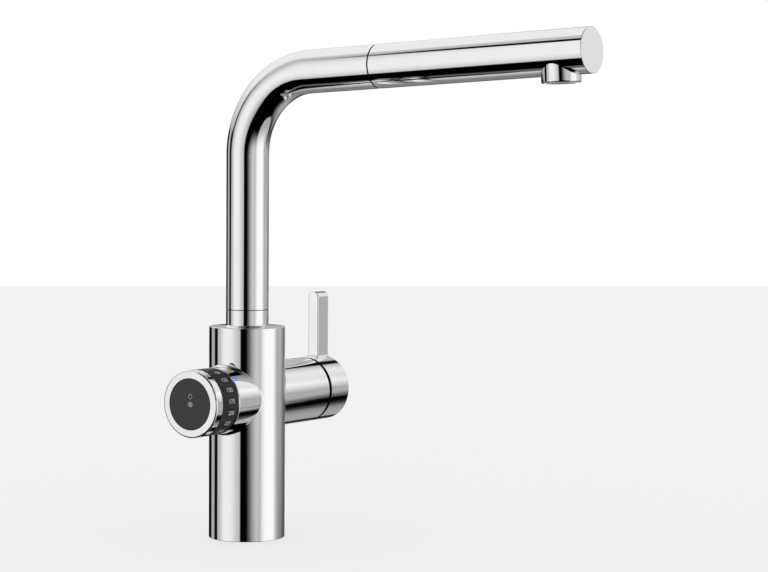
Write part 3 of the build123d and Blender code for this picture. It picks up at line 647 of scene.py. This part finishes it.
class TAP_OT_collar_cove(bpy.types.Operator):
    """Rounds the corner between the top of the body and the foot of the collar"""
    bl_idname = "tap.collar_cove"
    bl_label = "Cove of the collar"

    def execute(self, context):
        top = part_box("body_shell")[1].z
        inner, foot = tube_radius + cove_overlap, top - 0.05 * mm
        outline = [(inner, foot), (inner + cove_radius, foot)]
        outline += [(inner + out, top + rise) for out, rise in quarter_round(cove_radius)]
        cove = bmesh.new()
        lathe(cove, outline, Vector((0, 0, 0)), Z, 128)
        lay_down("collar_cove", cove, "root", "chrome")
        return {"FINISHED"}


def foot_path(share):
    """A point round three sides of the lever's foot, in plan, and the direction out of the bar there."""
    front, back, half = bar_high.x - cove_overlap, bar_low.x, bar_high.y
    along = [(0.0, (front, -half), -90), (0.36, (back, -half), -90), (0.42, (back, -half), -180),
             (0.58, (back, half), -180), (0.64, (back, half), -270), (1.0, (front, half), -270)]
    for (start, first, turn), (end, last, next_turn) in zip(along, along[1:]):
        if share <= end:
            part = (share - start) / (end - start)
            angle = radians(turn + (next_turn - turn) * part)
            return Vector(first).lerp(Vector(last), part), Vector((cos(angle), sin(angle)))


class TAP_OT_lever_cove(bpy.types.Operator):
    """Rounds the corner between the lever's bar and the cap that it stands on"""
    bl_idname = "tap.lever_cove"
    bl_label = "Cove of the lever"

    def execute(self, context):
        cap_low, cap_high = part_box("lever_cap")
        cap_radius, cap_axis = (cap_high.y - cap_low.y) / 2, (cap_low.z + cap_high.z) / 2
        inside, sunk = -0.3 * mm, -0.6 * mm
        section = [(inside, sunk), (cove_radius, sunk)]
        section += quarter_round(cove_radius) + [(inside, cove_radius)]
        count = len(section)
        cove = bmesh.new()
        bmesh.ops.create_grid(cove, x_segments=50, y_segments=count, size=0.5)
        for vert in cove.verts:
            point, outward = foot_path(vert.co.x + 0.5)
            reach, height = section[round((vert.co.y + 0.5) * count) % count]
            place = point + outward * reach
            on_cap = cap_axis + (cap_radius ** 2 - place.y ** 2) ** 0.5
            vert.co = Vector((place.x, place.y, on_cap + height))
        bmesh.ops.remove_doubles(cove, verts=cove.verts, dist=0.001 * mm)
        bmesh.ops.holes_fill(cove, edges=[edge for edge in cove.edges if edge.is_boundary], sides=0)
        lay_down("lever_cove", cove, "lever", "chrome")
        return {"FINISHED"}


# ---- Printing on the dial

dial_numbers = (
    100, 125, 150, 175, 200, 225, 250, 300, 350, 400, 450, 500, 600, 700, 800, 900, 1000, 1500)
first_angle = radians(65.0)
number_pitch = radians(360.0 / len(dial_numbers))
ring_radius = (ring_high.z - ring_low.z) / 2
print_bed = 0.02 * mm
glyph_strips = 9


class TAP_OT_dial_numbers(bpy.types.Operator):
    """Prints the amounts and the fine lines between them on the dial's ring"""
    bl_idname = "tap.dial_numbers"
    bl_label = "Numbers on the dial"

    def execute(self, context):
        settings = context.scene.tap_dial
        numbers = bmesh.new()
        digit_width = settings.number_spacing / 3
        for index, number in enumerate(dial_numbers):
            words = str(number)
            height, width = settings.number_height, digit_width * len(words)
            text = flat_text(words, height, width, settings.number_boldness)
            # Level cuts let the glyphs bend with the ring
            for cut in range(glyph_strips):
                everything = text.verts[:] + text.edges[:] + text.faces[:]
                place = (0, height * (cut - (glyph_strips - 1) / 2) / glyph_strips, 0)
                bmesh.ops.bisect_plane(
                    text, geom=everything, dist=0.0001 * mm, plane_co=place, plane_no=(0, 1, 0))
            thicken(text, settings.print_thickness + print_bed)
            turn = first_angle - index * number_pitch
            wrap_on_ring(text, -settings.number_place, turn, ring_radius - print_bed)
            join_into(numbers, text)
        ink = finish("number_ink", lambda book: moulded_paint(book, tuple(settings.number_colour), 0.55))
        lay_down("dial_numbers", numbers, "dial", "grey_plastic", ink=ink)

        lines = bmesh.new()
        start, end = ring_low.x + 0.5 * mm, band_start
        for index in range(len(dial_numbers)):
            line = bmesh.new()
            bmesh.ops.create_grid(line, x_segments=8, y_segments=1, size=0.5)
            bmesh.ops.scale(line, verts=line.verts, vec=(end - start, settings.line_width, 1))
            thicken(line, settings.print_thickness + print_bed)
            turn = first_angle - (index + 0.5) * number_pitch
            wrap_on_ring(line, (start + end) / 2, turn, ring_radius - print_bed)
            join_into(lines, line)
        floor, top = ring_radius - print_bed, ring_radius + settings.print_thickness
        near, far = end - settings.line_width / 2, end + settings.line_width / 2
        outline = [(floor, near), (floor, far), (top, far), (top, near)]
        lathe(lines, outline, Vector((0, 0, dial_axis_height)), X, 192)
        ink = finish("line_ink", lambda book: moulded_paint(book, tuple(settings.line_colour), 0.5))
        lay_down("dial_lines", lines, "dial", "black_ring", ink=ink)
        return {"FINISHED"}


# ---- The glass button with its two icons

icon_side = -0.4 * mm
icon_thickness = 0.04 * mm
drop_rise = 4.85 * mm
drop_radius, drop_line = 1.55 * mm, 0.4 * mm
drop_tip, drop_inner_tip = 1.95 * mm, 1.4 * mm
dot_rise = -0.05 * mm
dot_width, dot_height = 1.9 * mm, 1.7 * mm
dot_stripes, stripe_share = 9, 0.78


def stand_on_glass(bm, side, rise, face):
    """Turns a flat piece that looks along +Z to look along -X, and puts it on the button's glass."""
    turn = Matrix(((0, 0, -1), (-1, 0, 0), (0, 1, 0)))
    bmesh.ops.transform(bm, matrix=turn.to_4x4(), verts=bm.verts)
    bmesh.ops.translate(bm, verts=bm.verts, vec=(face, side, dial_axis_height + rise))


class TAP_OT_glass_button(bpy.types.Operator):
    """Makes the button's glass disc with a ground edge, and the two icons printed on it"""
    bl_idname = "tap.glass_button"
    bl_label = "Glass button"

    def execute(self, context):
        settings = context.scene.tap_dial
        face = glass_low.x + 0.05 * mm
        back = glass_high.x
        radius = (glass_high.z - glass_low.z) / 2
        bevel = 0.25 * mm
        middle = Vector((0, 0, dial_axis_height))
        outline = [(0, back), (radius, back), (radius, face + bevel)]
        for step in range(1, 5):
            turn = pi / 2 * step / 5
            outline.append((radius - bevel * (1 - cos(turn)), face + bevel * (1 - sin(turn))))
        outline += [(radius - bevel, face), (radius * 0.5, face), (0, face)]
        glass = bmesh.new()
        lathe(glass, outline, middle, X, 128)
        lay_down("button_glass_disc", glass, "button", "dark_glass", ["button_glass"])

        # The upper icon is the outline of a drop
        icons = bmesh.new()
        drop = bmesh.new()
        steps = 48
        edges = []
        for radius, tip in ((drop_radius, drop_tip), (drop_radius - drop_line, drop_inner_tip)):
            ring = []
            for step in range(steps):
                turn = 2 * pi * step / steps
                lift = (tip - radius) * max(0.0, cos(turn)) ** 10
                ring.append(drop.verts.new((radius * sin(turn), radius * cos(turn) + lift, 0)))
            edges += [drop.edges.new(pair) for pair in zip(ring, ring[1:] + ring[:1])]
        bmesh.ops.bridge_loops(drop, edges=edges)
        thicken(drop, icon_thickness)
        stand_on_glass(drop, icon_side, drop_rise, face)
        join_into(icons, drop)

        # The lower icon is a dot of upright stripes
        for stripe in range(dot_stripes):
            share = (stripe + 0.5) / dot_stripes * 2 - 1
            half = dot_height * (1 - share * share) ** 0.5
            bar = bmesh.new()
            bmesh.ops.create_grid(bar, x_segments=1, y_segments=1, size=0.5)
            bmesh.ops.scale(
                bar, verts=bar.verts, vec=(2 * dot_width / dot_stripes * stripe_share, 2 * half, 1))
            thicken(bar, icon_thickness)
            stand_on_glass(bar, icon_side + share * dot_width, dot_rise, face)
            join_into(icons, bar)
        ink = finish("icon_ink", lambda book: moulded_paint(book, tuple(settings.icon_colour), 0.6))
        lay_down("button_icons", icons, "button", "grey_plastic", ink=ink)
        return {"FINISHED"}


# ---- The spray hose inside the spout, with its braid laid out for the length that it has when the head is pulled out

spout_height = 303.0 * mm
spout_rise = radians(2.45)
bend_radius = 53.0 * mm
hose_radius = 4.25 * mm
arm_direction = Vector((0, -cos(spout_rise), sin(spout_rise)))
arm_start = Vector((0, 0, spout_height))
bend_sweep = radians(90) - spout_rise
bend_run = bend_radius * tan(bend_sweep / 2)
run_margin = 4 * mm
stretch_start = bend_run + run_margin
stretch_end = 84.0 * mm
pull_length = 250.0 * mm


def hose_place(point, foot):
    """Where a point of the hose lies: its share of a turn round the hose, and its length along it."""
    bend_foot = spout_height - bend_run
    if point.z < bend_foot and point.y > -bend_radius:
        return atan2(point.y, point.x) / (2 * pi), point.z - foot
    reach = (point - arm_start).dot(arm_direction)
    if reach > bend_run:
        outward = (point - arm_start - arm_direction * reach).dot(X.cross(arm_direction))
        along = bend_foot - foot + bend_radius * bend_sweep + reach - bend_run
        return atan2(-outward, point.x) / (2 * pi), along
    across = Vector((0, point.y + bend_radius, point.z - bend_foot))
    along = bend_foot - foot + bend_radius * atan2(across.z, across.y)
    return atan2(across.length - bend_radius, point.x) / (2 * pi), along


def hose_stretch(point):
    """How much further along the hose a point lies once the head is pulled out."""
    reach = (point - arm_start).dot(arm_direction)
    share = min(1.0, max(0.0, (reach - stretch_start) / (stretch_end - stretch_start)))
    return pull_length * share * share * (3 - 2 * share)


def next_ring(bm, ring):
    """Extrudes an open ring of edges: the new ring's vertices, still in place, and its edges."""
    grown = bmesh.ops.extrude_edge_only(bm, edges=ring)["geom"]
    verts = [item for item in grown if isinstance(item, bmesh.types.BMVert)]
    moved = set(verts)
    edges = [
        item for item in grown if isinstance(item, bmesh.types.BMEdge) and moved.issuperset(item.verts)]
    return verts, edges


class TAP_OT_spray_hose(bpy.types.Operator):
    """Makes the braided spray hose from below the body, up the spout and along to the head"""
    bl_idname = "tap.spray_hose"
    bl_label = "Spray hose"

    def execute(self, context):
        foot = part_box("spray_hose")[0].z
        bend_foot = spout_height - bend_run
        hose = bmesh.new()
        uv_layer = hose.loops.layers.uv.new("braid")
        started = bmesh.ops.create_circle(hose, cap_ends=False, segments=32, radius=hose_radius)
        bmesh.ops.translate(hose, verts=started["verts"], vec=(0, 0, foot))
        ring = list(hose.edges)
        risers, turns, runs = 60, 28, 60
        run_length = (stretch_end + run_margin - bend_run) / runs
        for _ in range(risers):
            verts, ring = next_ring(hose, ring)
            bmesh.ops.translate(hose, verts=verts, vec=(0, 0, (bend_foot - foot) / risers))
        turn = Matrix.Rotation(bend_sweep / turns, 3, "X")
        for _ in range(turns):
            verts, ring = next_ring(hose, ring)
            bmesh.ops.rotate(hose, verts=verts, cent=(0, -bend_radius, bend_foot), matrix=turn)
        for _ in range(runs):
            verts, ring = next_ring(hose, ring)
            bmesh.ops.translate(hose, verts=verts, vec=arm_direction * run_length)

        # The braid is drawn at the length that the hose has with the head pulled out
        for face in hose.faces:
            middle, _ = hose_place(face.calc_center_median(), foot)
            for loop in face.loops:
                angle, along = hose_place(loop.vert.co, foot)
                angle -= round(angle - middle)
                loop[uv_layer].uv = (angle, along + hose_stretch(loop.vert.co))
        piece = lay_down("spray_hose_braided", hose, None, "hose", ["spray_hose"], 80.0)
        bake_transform(piece)
        return {"FINISHED"}


# ---- The threaded shank and its nut, below the worktop

class TAP_OT_threads(bpy.types.Operator):
    """Cuts the thread on the fixing shank and shapes the fixing nut"""
    bl_idname = "tap.threads"
    bl_label = "Shank thread and nut"

    def execute(self, context):
        settings = context.scene.tap_plumbing
        crest = (shank_high.x - shank_low.x) / 2
        root = crest - settings.thread_depth
        core = root + 0.01 * mm
        bore = crest - shank_wall
        pitch = settings.thread_pitch
        start, end = shank_low.z + 1.2 * mm, -2.0 * mm
        turns, steps = int((end - start) / pitch), 64
        shank = bmesh.new()
        flank = [(root, 0.0), (root, 0.12), (crest, 0.44), (crest, 0.56), (root, 0.88), (root, 1.0)]
        points = [shank.verts.new((radius, 0, start + share * pitch)) for radius, share in flank]
        edges = [shank.edges.new(pair) for pair in zip(points, points[1:])]
        spun = bmesh.ops.spin(shank, geom=points + edges, cent=(0, 0, 0), axis=(0, 0, 1),
                              angle=2 * pi * turns, steps=steps * turns, dvec=(0, 0, pitch / steps))
        last = [item for item in spun["geom_last"] if isinstance(item, bmesh.types.BMVert)]
        for closing in (points, last):
            bmesh.ops.contextual_create(shank, geom=closing)
        top = start + turns * pitch + pitch
        chamfer = 0.3 * mm
        outline = [
            (bore, shank_low.z), (core - chamfer, shank_low.z), (core, shank_low.z + chamfer),
            (core, top), (crest, top + 0.6 * mm), (crest, shank_high.z), (bore, shank_high.z)]
        lathe(shank, outline, Vector((0, 0, 0)), Z, steps)
        lay_down("shank_threaded", shank, "root", "brass", ["shank"])

        nut = bmesh.new()
        flat = min(nut_high.x, nut_high.y)
        corner = 0.0 if nut_high.x > nut_high.y else radians(30)
        hole, edge, shoulder = crest + 0.05 * mm, 0.7 * mm, flat * 0.985
        low, high = nut_low.z, nut_high.z
        outline = [
            (hole, low + edge), (hole + edge, low), (shoulder, low), (flat, low),
            (flat, high), (shoulder, high), (hole + edge, high), (hole, high - edge)]
        lathe(nut, outline, Vector((0, 0, 0)), Z, 96)
        middle = (low + high) / 2
        for vert in nut.verts:
            radius = hypot(vert.co.x, vert.co.y)
            if radius > (shoulder + flat) / 2:
                turn = (atan2(vert.co.y, vert.co.x) - corner) % radians(60) - radians(30)
                reach = flat / cos(turn)
                drop = (reach - shoulder) * tan(radians(30))
                lower = drop if vert.co.z < middle else -drop
                x, y, z = vert.co
                vert.co = Vector((x * reach / radius, y * reach / radius, z + lower))
        lay_down("fixing_nut_hexagon", nut, "root", "brass", ["fixing_nut"], 20.0)
        return {"FINISHED"}


# ---- Stage: floor, studio light and camera

def tone(value):
    """The light of an 8-bit display tone."""
    share = value / 255
    return share / 12.92 if share < 0.04045 else ((share + 0.055) / 1.055) ** 2.4


def direction_at(front, side, around, above):
    """The direction at an azimuth and an elevation of the studio, in degrees."""
    level = front * cos(radians(around)) + side * sin(radians(around))
    return level * cos(radians(above)) + Z * sin(radians(above))


def studio_light(book, front, side):
    """What the chrome reflects: a soft box on each side of the camera, a pale ceiling, a dark floor.

    Directions are in degrees: around is 0 towards the camera and grows to its right, and above is the
    height over the horizon.
    """
    direction = book.place("Generated")
    around = book.dot(direction, side).math("ARCTAN2", book.dot(direction, front)).math("DEGREES")
    above = book.dot(direction, Z).math("ARCSINE").math("DEGREES")
    below = (-above).math("MAXIMUM", 0.0)

    def spot(azimuth, elevation, radius, soft):
        towards = book.dot(direction, direction_at(front, side, azimuth, elevation))
        return book.ease(towards, cos(radians(radius + soft / 2)), cos(radians(radius - soft / 2)))

    def lay(shade, share):
        """Puts a sheet of this tone over what is already there, where share is 1."""
        nonlocal light
        light = book.blend(light, shade, share)

    # Behind the tap, below the horizon: a grey glow that fades towards the floor, and a bright sheet
    glow = book.ease(around - above * 0.35, 115, 164, 0.0, 0.355) * book.ease(around, 160, 180, 1.0, 0.62)
    glow = book.blend(glow, 0.215, book.ease(around, -146, -156))
    glow = glow * book.ease(above, -8, -28, book.ease(around, -120, -100, 0.02, 0.4), 1.0)
    fade = book.ease(above, -84, -48)
    light = glow * fade * fade
    lay(0.115, book.between(around, -136, -105, 8) * book.between(above, -70, -54, 6))
    lay(book.ease(around, -134, -170, 0.62, 0.23), spot(-158, -60, 12, 4))

    # Behind the left soft box: a grey strip between two black ones, up to the horizon
    strip = book.between(around, -132.5, -113.5, 8) * book.ease(above, -18, -12)
    lay(tone(172), strip)

    # Right soft box: a dim part towards the camera, and a bright part with round lower corners
    dim = book.ease(around + above * 0.35, -3.5, 32, 0.0, 0.575) - book.ease(around, 36, 41, 0.0, 0.05)
    dim = dim * book.ease(above, -32, -4)
    light = light + dim * book.ease(around, 62, 48)
    wide, deep = (around - 80.5) / 35.5, below / 53.5
    bright = 0.41 + book.ease(around, 108, 86) * book.ease(above, -42, -6, 0.0, 0.57)
    bright = bright * book.ease(around, 20, 64)
    lay(bright, book.ease(wide * wide * abs(wide) + deep * deep * deep, 1.15, 0.85))
    grey = book.ease(above, -15, -1, 0.12, 0.5) * book.ease(around, 120, 150, 1.0, 0.36)
    lay(grey, book.ease(around, 110, 113.5) * book.ease(above, -19, -17))
    lean = around + above * 0.38
    line = book.between(lean, 106.5, 110.5, 2.5) * book.between(above, -34, -17.5, 3)
    lay(0.001, line)
    beside_line = book.between(above, -38, -20, 3) * book.ease(lean, 108.5, 109.5)
    lay(light * book.ease(lean, 108, 122), beside_line)

    # Left soft box
    dip = 1 - book.ease(around, -112, -91).math("MINIMUM", book.ease(around, -68, -91)) * 0.42
    left = dip * (0.86 - book.ease(around, -54, -16, 0.0, 0.37)) * book.ease(above, -42, -8, 0.62, 1.0)
    wide, deep = (around + 57.5) / 40, (below - (around + 57.5) * 0.08) / 36
    wide, deep = wide * wide, deep * deep
    lay(left, book.ease(wide * wide + deep * deep, 1.25, 0.78))

    # Ceiling: white on the left, a slope on the right, and grey high up in front
    ceiling = book.ease(above, -2, 26, 0.35, 0.84) * dip
    open_edge = book.ease(around, -150, -170, 6.5, 2.0)
    lay(ceiling, book.ease(above - open_edge, -1.5, 1.5) * book.ease(around, -96, -99))
    slope = book.ease(above + book.ease(around, 111.5, 116, 0, 4.5), -6, 22, 0.33, 0.955)
    slope = slope * book.ease(around, 111, 117, 1.0, 0.82) * book.ease(around, 122, 152, 1.0, 0.6)
    slope = slope * (1 - book.between(above, 7, 25, 6) * book.between(around, 121, 146, 6) * 0.55)
    slope = slope * (1 + book.ease(above, 26, 32) * book.between(around, 128, 146, 12) * 0.15)
    slope = book.blend(slope, book.ease(above, 0, 25, 0.38, 0.49), book.ease(around, 155, 165))
    lay(slope, book.ease(above, -2, 0) * book.ease(around, 100, 106))
    ahead = book.ease(around, 8, 64, 0.18, 0.48)
    ahead = ahead + book.ease(around, 60, 82, 0.0, 0.36) * book.ease(above, 13, 19)
    lay(ahead, book.ease(above, 4, 12) * book.between(around, 2, 103, 4))

    # The front of the ceiling: grey from halfway up, with a dark gap ahead, and dark above that
    grey = book.ease(abs(around - 11), 14, 27, 0.0, 0.29) + book.ease(abs(around - 11), 40, 62, 0.0, 0.13)
    half_way = book.ease(above, 22, 29) * book.between(around, -66, 113, 6)
    lay(grey, half_way)
    high = book.ease(around, -78, -66, 66, 48) - book.ease(around, 60, 100, 0, 5)
    dark = book.ease(around, 76, 110, 0.008, 0.14) + book.ease(around, -60, -80, 0.0, 0.3)
    lay(dark, book.ease(above - high, -1.5, 1.5) * book.ease(around, 134, 122))
    lay(0.26, book.ease(above, 58, 68) * book.ease(around, 84, 100))

    # Slots between the sheets of the ceiling
    slot = book.between(around - above * 0.25, -105.5, -96, 6)
    lay(0.004, slot * book.ease(above, 27, 8) * book.ease(above, -14, -10))
    wide, deep = (around + 77) / 12.5, (above - 43.5) / 5.2
    lay(0.002, book.ease(wide * wide + deep * deep, 1.25, 0.45))

    # Small dark and bright spots
    lay(0.002, spot(156.5, 36, 5.5, 5))
    lay(0.85, spot(174.5, -4, 2, 2))
    lay(0.74, spot(118, 7, 4, 3))
    lay(0.004, spot(172.5, -25, 4.5, 7))

    # The black strip towards the camera, which is wider above the horizon
    wider = book.ease(above, 3, 7)
    strip = book.between(around, wider * -11 - 15.5, wider * 2.5 - 2.5, 3)
    return book.blend(light, 0.001, strip * book.ease(above, 34, 12))


# The photograph isn't quite centred on the lens: shares of the sensor's width
lens_shift_across, lens_shift_up = 0.00995, -0.00638


class TAP_OT_stage(bpy.types.Operator):
    """Lays the pale floor, sets the soft studio light and stands the camera where the photo shows"""
    bl_idname = "tap.stage"
    bl_label = "Floor, light and camera"

    def execute(self, context):
        scene = context.scene
        settings = scene.tap_stage
        heading = settings.heading
        forward = Vector((sin(heading), cos(heading), 0))
        side = Vector((cos(heading), -sin(heading), 0))

        floor_bm = bmesh.new()
        turn = Matrix.Rotation(-settings.floor_turn, 3, "Z")
        bmesh.ops.create_grid(floor_bm, x_segments=8, y_segments=8, size=settings.floor_reach)
        bmesh.ops.rotate(floor_bm, verts=floor_bm.verts, cent=(0, 0, 0), matrix=turn)
        mesh = bpy.data.meshes.new("worktop_floor")
        floor_bm.to_mesh(mesh)
        floor_bm.free()
        floor = bpy.data.objects.new("worktop_floor", mesh)
        scene.collection.objects.link(floor)

        # Most of the floor's tone is its own light, so that it stays even, and the rest takes shade
        shaded = settings.floor_shade
        lit = settings.floor_tone - shaded

        def mottle(book, tone_of_floor, spread, scale):
            ends = [(tone_of_floor * share,) * 3 for share in (1 - spread, 1 + spread)]
            return book.tint(*ends, book.noise(book.place(), scale))

        floor.data.materials.append(finish("pale_floor", lambda book: {
            "Base Color": mottle(book, shaded, 0.01, 3.0),
            "Emission Color": mottle(book, lit, 0.001, 2.0),
            "Roughness": 0.9 + book.noise(book.place(), 40.0) * 0.1,
        }, Emission_Strength=1.0, Specular_IOR_Level=0.0))
        floor.visible_glossy = False

        world = bpy.data.worlds.new("studio")
        scene.world = world
        world.use_nodes = True
        book = NodeBook(world.node_tree)
        seen = book.add("ShaderNodeLightPath", output="Is Camera Ray")
        diffuse = book.add("ShaderNodeLightPath", output="Is Diffuse Ray")
        light = book.blend(studio_light(book, -forward, side), 1.0, seen.math("MAXIMUM", diffuse))
        background = book.add("ShaderNodeBackground", None, {"Color": light, "Strength": 1.0})
        book.add("ShaderNodeOutputWorld", None, {"Surface": background})

        camera_data = bpy.data.cameras.new("camera")
        camera_data.sensor_width = 36.0
        camera_data.lens = settings.lens
        camera_data.shift_x = lens_shift_across
        camera_data.shift_y = lens_shift_up
        camera_data.clip_start = 0.01
        camera = bpy.data.objects.new("camera", camera_data)
        scene.collection.objects.link(camera)
        look = forward * cos(settings.pitch) + Z * sin(settings.pitch)
        level = side.cross(look)
        right = side * cos(settings.roll) + level * sin(settings.roll)
        turn = Matrix((right, right.cross(look), -look)).transposed()
        camera.matrix_world = Matrix.Translation(Vector(settings.camera_place)) @ turn.to_4x4()
        scene.camera = camera
        scene.view_settings.view_transform = "Standard"
        scene.view_settings.look = "None"
        return {"FINISHED"}


# ---- Panel, registration and the run

class TAP_PT_tap(bpy.types.Panel):
    """Builds the tap's looks, one piece after another"""
    bl_idname = "TAP_PT_tap"
    bl_label = "Mixer tap"
    bl_space_type = "VIEW_3D"
    bl_region_type = "UI"
    bl_category = "Mixer tap"

    def draw(self, context):
        layout = self.layout
        for operator in piece_operators:
            layout.operator(operator.bl_idname)
        for name in setting_groups:
            group = getattr(context.scene, name)
            box = layout.box()
            for key in group.bl_rna.properties.keys():
                if key not in ("rna_type", "name"):
                    box.prop(group, key)


setting_groups = {
    "tap_dial": TapDialSettings,
    "tap_finish": TapFinishSettings,
    "tap_plumbing": TapPlumbingSettings,
    "tap_stage": TapStageSettings,
}
piece_operators = (
    TAP_OT_finishes, TAP_OT_even_casting, TAP_OT_collar_cove, TAP_OT_lever_cove, TAP_OT_dial_numbers,
    TAP_OT_glass_button, TAP_OT_spray_hose, TAP_OT_threads, TAP_OT_stage)


def register():
    for name, group in setting_groups.items():
        bpy.utils.register_class(group)
        setattr(bpy.types.Scene, name, bpy.props.PointerProperty(type=group))
    for operator in piece_operators:
        bpy.utils.register_class(operator)
    bpy.utils.register_class(TAP_PT_tap)


def unregister():
    bpy.utils.unregister_class(TAP_PT_tap)
    for operator in reversed(piece_operators):
        bpy.utils.unregister_class(operator)
    for name, group in reversed(setting_groups.items()):
        delattr(bpy.types.Scene, name)
        bpy.utils.unregister_class(group)


def main():
    register()
    bpy.ops.tap.finishes()
    bpy.ops.tap.even_casting()
    bpy.ops.tap.collar_cove()
    bpy.ops.tap.lever_cove()
    bpy.ops.tap.dial_numbers()
    bpy.ops.tap.glass_button()
    bpy.ops.tap.spray_hose()
    bpy.ops.tap.threads()
    bpy.ops.tap.stage()


if __name__ == "__main__":
    main()
